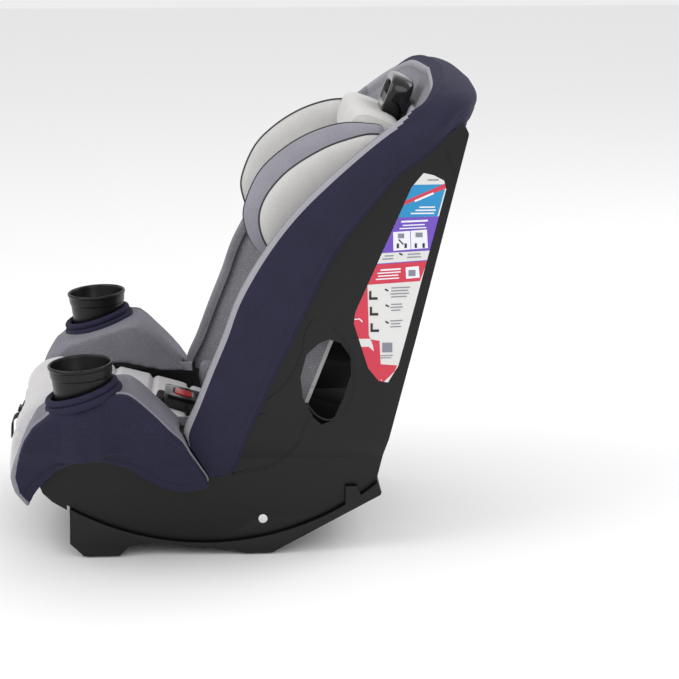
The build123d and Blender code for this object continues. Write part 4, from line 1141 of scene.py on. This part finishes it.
# ---- side labels: plain blocks of colour and bars, no lettering ----
label = {
    # how far each layer stands off the shell, mm; the step keeps layers that overlap apart
    "baseOut": 0.45, "blockOut": 0.52, "barOut": 0.82, "step": 0.02,
    "outline": [(246, 515), (233, 518), (218, 500), (147, 337), (145, 322), (164, 261), (178, 243),
                (190, 241), (203, 263), (262, 497), (259, 508)],
    "blocks": [
        ("blue", [(212.7, 503.0), (262.0, 503.3), (251.3, 461.9), (197.1, 460.7)]),
        ("red", [(203.3, 479.5), (262.0, 504.9), (262.0, 498.1), (203.3, 475.1)]),
        ("purple", [(197.1, 460.7), (254.5, 461.9), (242.3, 417.3), (178.2, 414.6)]),
        ("white", [(194.8, 442.0), (216.4, 443.4), (217.5, 419.1), (195.4, 417.6)]),
        ("white", [(217.3, 443.5), (237.9, 444.9), (239.7, 420.6), (218.2, 419.2)]),
        ("purple", [(171.8, 400.7), (239.2, 404.9), (239.2, 403.7), (171.8, 399.6)]),
        ("red", [(170.2, 399.5), (239.2, 403.7), (229.8, 377.2), (159.1, 373.0)]),
        ("white", [(211.2, 395.6), (228.0, 397.0), (229.5, 381.9), (212.1, 380.5)]),
        ("red", [(141.0, 330.0), (159.1, 373.3), (162.3, 372.5), (164.5, 305.3), (140.0, 305.0)]),
        ("red", [(140.0, 305.4), (164.5, 305.4), (167.1, 300.3), (178.3, 298.4), (180.2, 266.2),
                 (201.7, 264.2), (198.5, 256.1), (182.3, 239.5), (166.0, 239.8)]),
        ("white", [(154.9, 324.3), (156.0, 325.4), (182.3, 243.8), (181.0, 243.8)]),
        ("white", [(145.5, 328.1), (152.5, 328.8), (156.0, 325.4), (154.9, 324.3), (152.0, 327.5),
                   (145.5, 326.8)]),
    ],
    # centre (y, z), length and height of each printed bar
    "bars": [
        ("white", [(234, 487, 26, 2.6, 23), (238, 474, 20, 1.8, 0), (236, 470, 26, 1.8, 0),
                   (232, 466, 30, 1.8, 0), (222, 456, 34, 2.4, 2), (221, 451, 28, 1.6, 2),
                   (220, 447, 34, 1.6, 2), (192, 393, 26, 2.2, 3), (190, 389, 30, 1.6, 3),
                   (189, 385, 26, 1.6, 3), (188, 381, 30, 1.6, 3)]),
        ("grey", [(245, 509, 14, 1.6, 0), (190, 411, 12, 1.4, 2), (188, 407, 14, 1.4, 2),
                  (222, 413, 16, 1.4, 2), (222, 409, 18, 1.4, 2), (205, 369, 24, 1.4, 2),
                  (204, 365, 22, 1.4, 2), (204, 361, 24, 1.4, 2), (203, 357, 20, 1.4, 2),
                  (200, 347, 14, 1.4, 2), (200, 343, 16, 1.4, 2), (199, 339, 12, 1.4, 2),
                  (200, 325, 16, 1.4, 2), (199, 321, 12, 1.4, 2), (199, 317, 14, 1.4, 2),
                  (188, 278, 16, 1.2, 2), (187, 275, 14, 1.2, 2)]),
        ("dark", [(170, 355, 11, 3.4, 0), (166, 360, 3, 10, 0), (171, 334, 11, 3.4, 0),
                  (167, 339, 3, 10, 0), (172, 312, 11, 3.4, 0), (168, 317, 3, 10, 0),
                  (205, 429, 9, 1.6, -48), (201, 424, 3, 6, 0), (211, 424, 3, 6, 0),
                  (224, 424, 3, 6, 0), (234, 424, 3, 6, 0), (205, 413, 5, 2, -30),
                  (187, 366, 5, 2, -30), (188, 345, 5, 2, -30), (188, 323, 5, 2, -30)]),
        ("grey", [(205, 437, 8, 6, 0), (228, 438, 9, 6, 0), (219.5, 388, 9, 8, 0),
                  (188.5, 289, 13, 13, 0)]),
    ],
}


def clipToOutline(shape, outline):
    # keeps the part of a shape that lies inside a convex outline
    centre = (sum(p[0] for p in outline) / len(outline), sum(p[1] for p in outline) / len(outline))
    for a, b in zip(outline, outline[1:] + outline[:1]):
        def side(p):
            return (b[0] - a[0]) * (p[1] - a[1]) - (b[1] - a[1]) * (p[0] - a[0])
        keep = side(centre) > 0
        result = []
        for p, q in zip(shape, shape[1:] + shape[:1]):
            sp, sq = side(p), side(q)
            if (sp > 0) == keep:
                result.append(p)
            if (sp > 0) != (sq > 0):
                t = sp / (sp - sq)
                result.append((p[0] + t * (q[0] - p[0]), p[1] + t * (q[1] - p[1])))
        shape = result
        if len(shape) < 3:
            return []
    return shape


def buildLabels():
    inks = {"white": "#dcdde4", "blue": "#2a86b8", "red": "#c23a4c", "purple": "#6a4bb0",
            "grey": "#7d7f8a", "dark": "#2a2b33"}
    films = []
    for ink, code in inks.items():
        # printed vinyl film: satin ink with a little unevenness
        films.append(mouldedPlastic(f"{ink}PrintedVinyl", code, 0.42, 1.2, 0.02))
    order = list(inks)
    shapes = [("white", label["outline"], label["baseOut"])]
    for k, (ink, shape) in enumerate(label["blocks"]):
        clipped = clipToOutline(shape, label["outline"])
        if clipped:
            shapes.append((ink, clipped, label["blockOut"] + label["step"] * k))
    for k, (ink, bars) in enumerate(label["bars"]):
        for y, z, length, height, turn in bars:
            c, n = math.cos(math.radians(turn)), math.sin(math.radians(turn))
            corners = [(y + a * length / 2 * c - b * height / 2 * n,
                        z + a * length / 2 * n + b * height / 2 * c)
                       for a, b in ((-1, -1), (1, -1), (1, 1), (-1, 1))]
            shapes.append((ink, corners, label["barOut"] + label["step"] * k))
    for side, sign in (("left", 1), ("right", -1)):
        verts, faces, inksUsed = [], [], []
        for ink, shape, out in shapes:
            faces.append(tuple(range(len(verts), len(verts) + len(shape))))
            verts += [wallPoint(y, z, out, sign) for y, z in shape]
            inksUsed.append(order.index(ink))
        mesh = bpy.data.meshes.new(f"sideLabel{side.title()}")
        mesh.from_pydata(verts, [], faces)
        film = bpy.data.objects.new(f"sideLabel{side.title()}", mesh)
        bpy.context.collection.objects.link(film)
        for polygon, ink in zip(mesh.polygons, inksUsed):
            polygon.material_index = ink
            if polygon.normal.x * sign < 0:
                polygon.flip()
        finishPiece(film, "seat", films)
    print("labels done")


# ---- carried-over CAD nodes ----
slotMaterial = {
    "base_plastic": basePlastic, "shell_plastic": shellPlastic, "lever_plastic": basePlastic,
    "cup_plastic": cupPlastic, "handle_plastic": glossAbs, "buckle_plastic": glossAbs,
    "button_plastic": redAbs, "rubber": moulderRubber, "steel": zincSteel,
    "bright_steel": brightSteel, "cover_fabric": navyWeave, "mesh_fabric": ribMesh,
    "pad_fabric": padKnit, "head_fabric": headKnit, "webbing": blackWebbing, "label_film": paleAbs}


def finishCadNodes():
    for part in frame["record"]["subparts"]:
        mesh = frame["nodes"][part["node"]].data
        mesh.materials.clear()
        snap = part["node"].startswith("cover_snap")
        mesh.materials.append(cupPlastic if snap else slotMaterial[part["material_slot"]])


buildArms()
buildCollars()
buildCups()
buildHeadWings()
buildHeadPad()
buildHandle()
buildBackLiner()
buildMoulded(slotMaterial)
buildRelief()
buildLabels()
finishCadNodes()
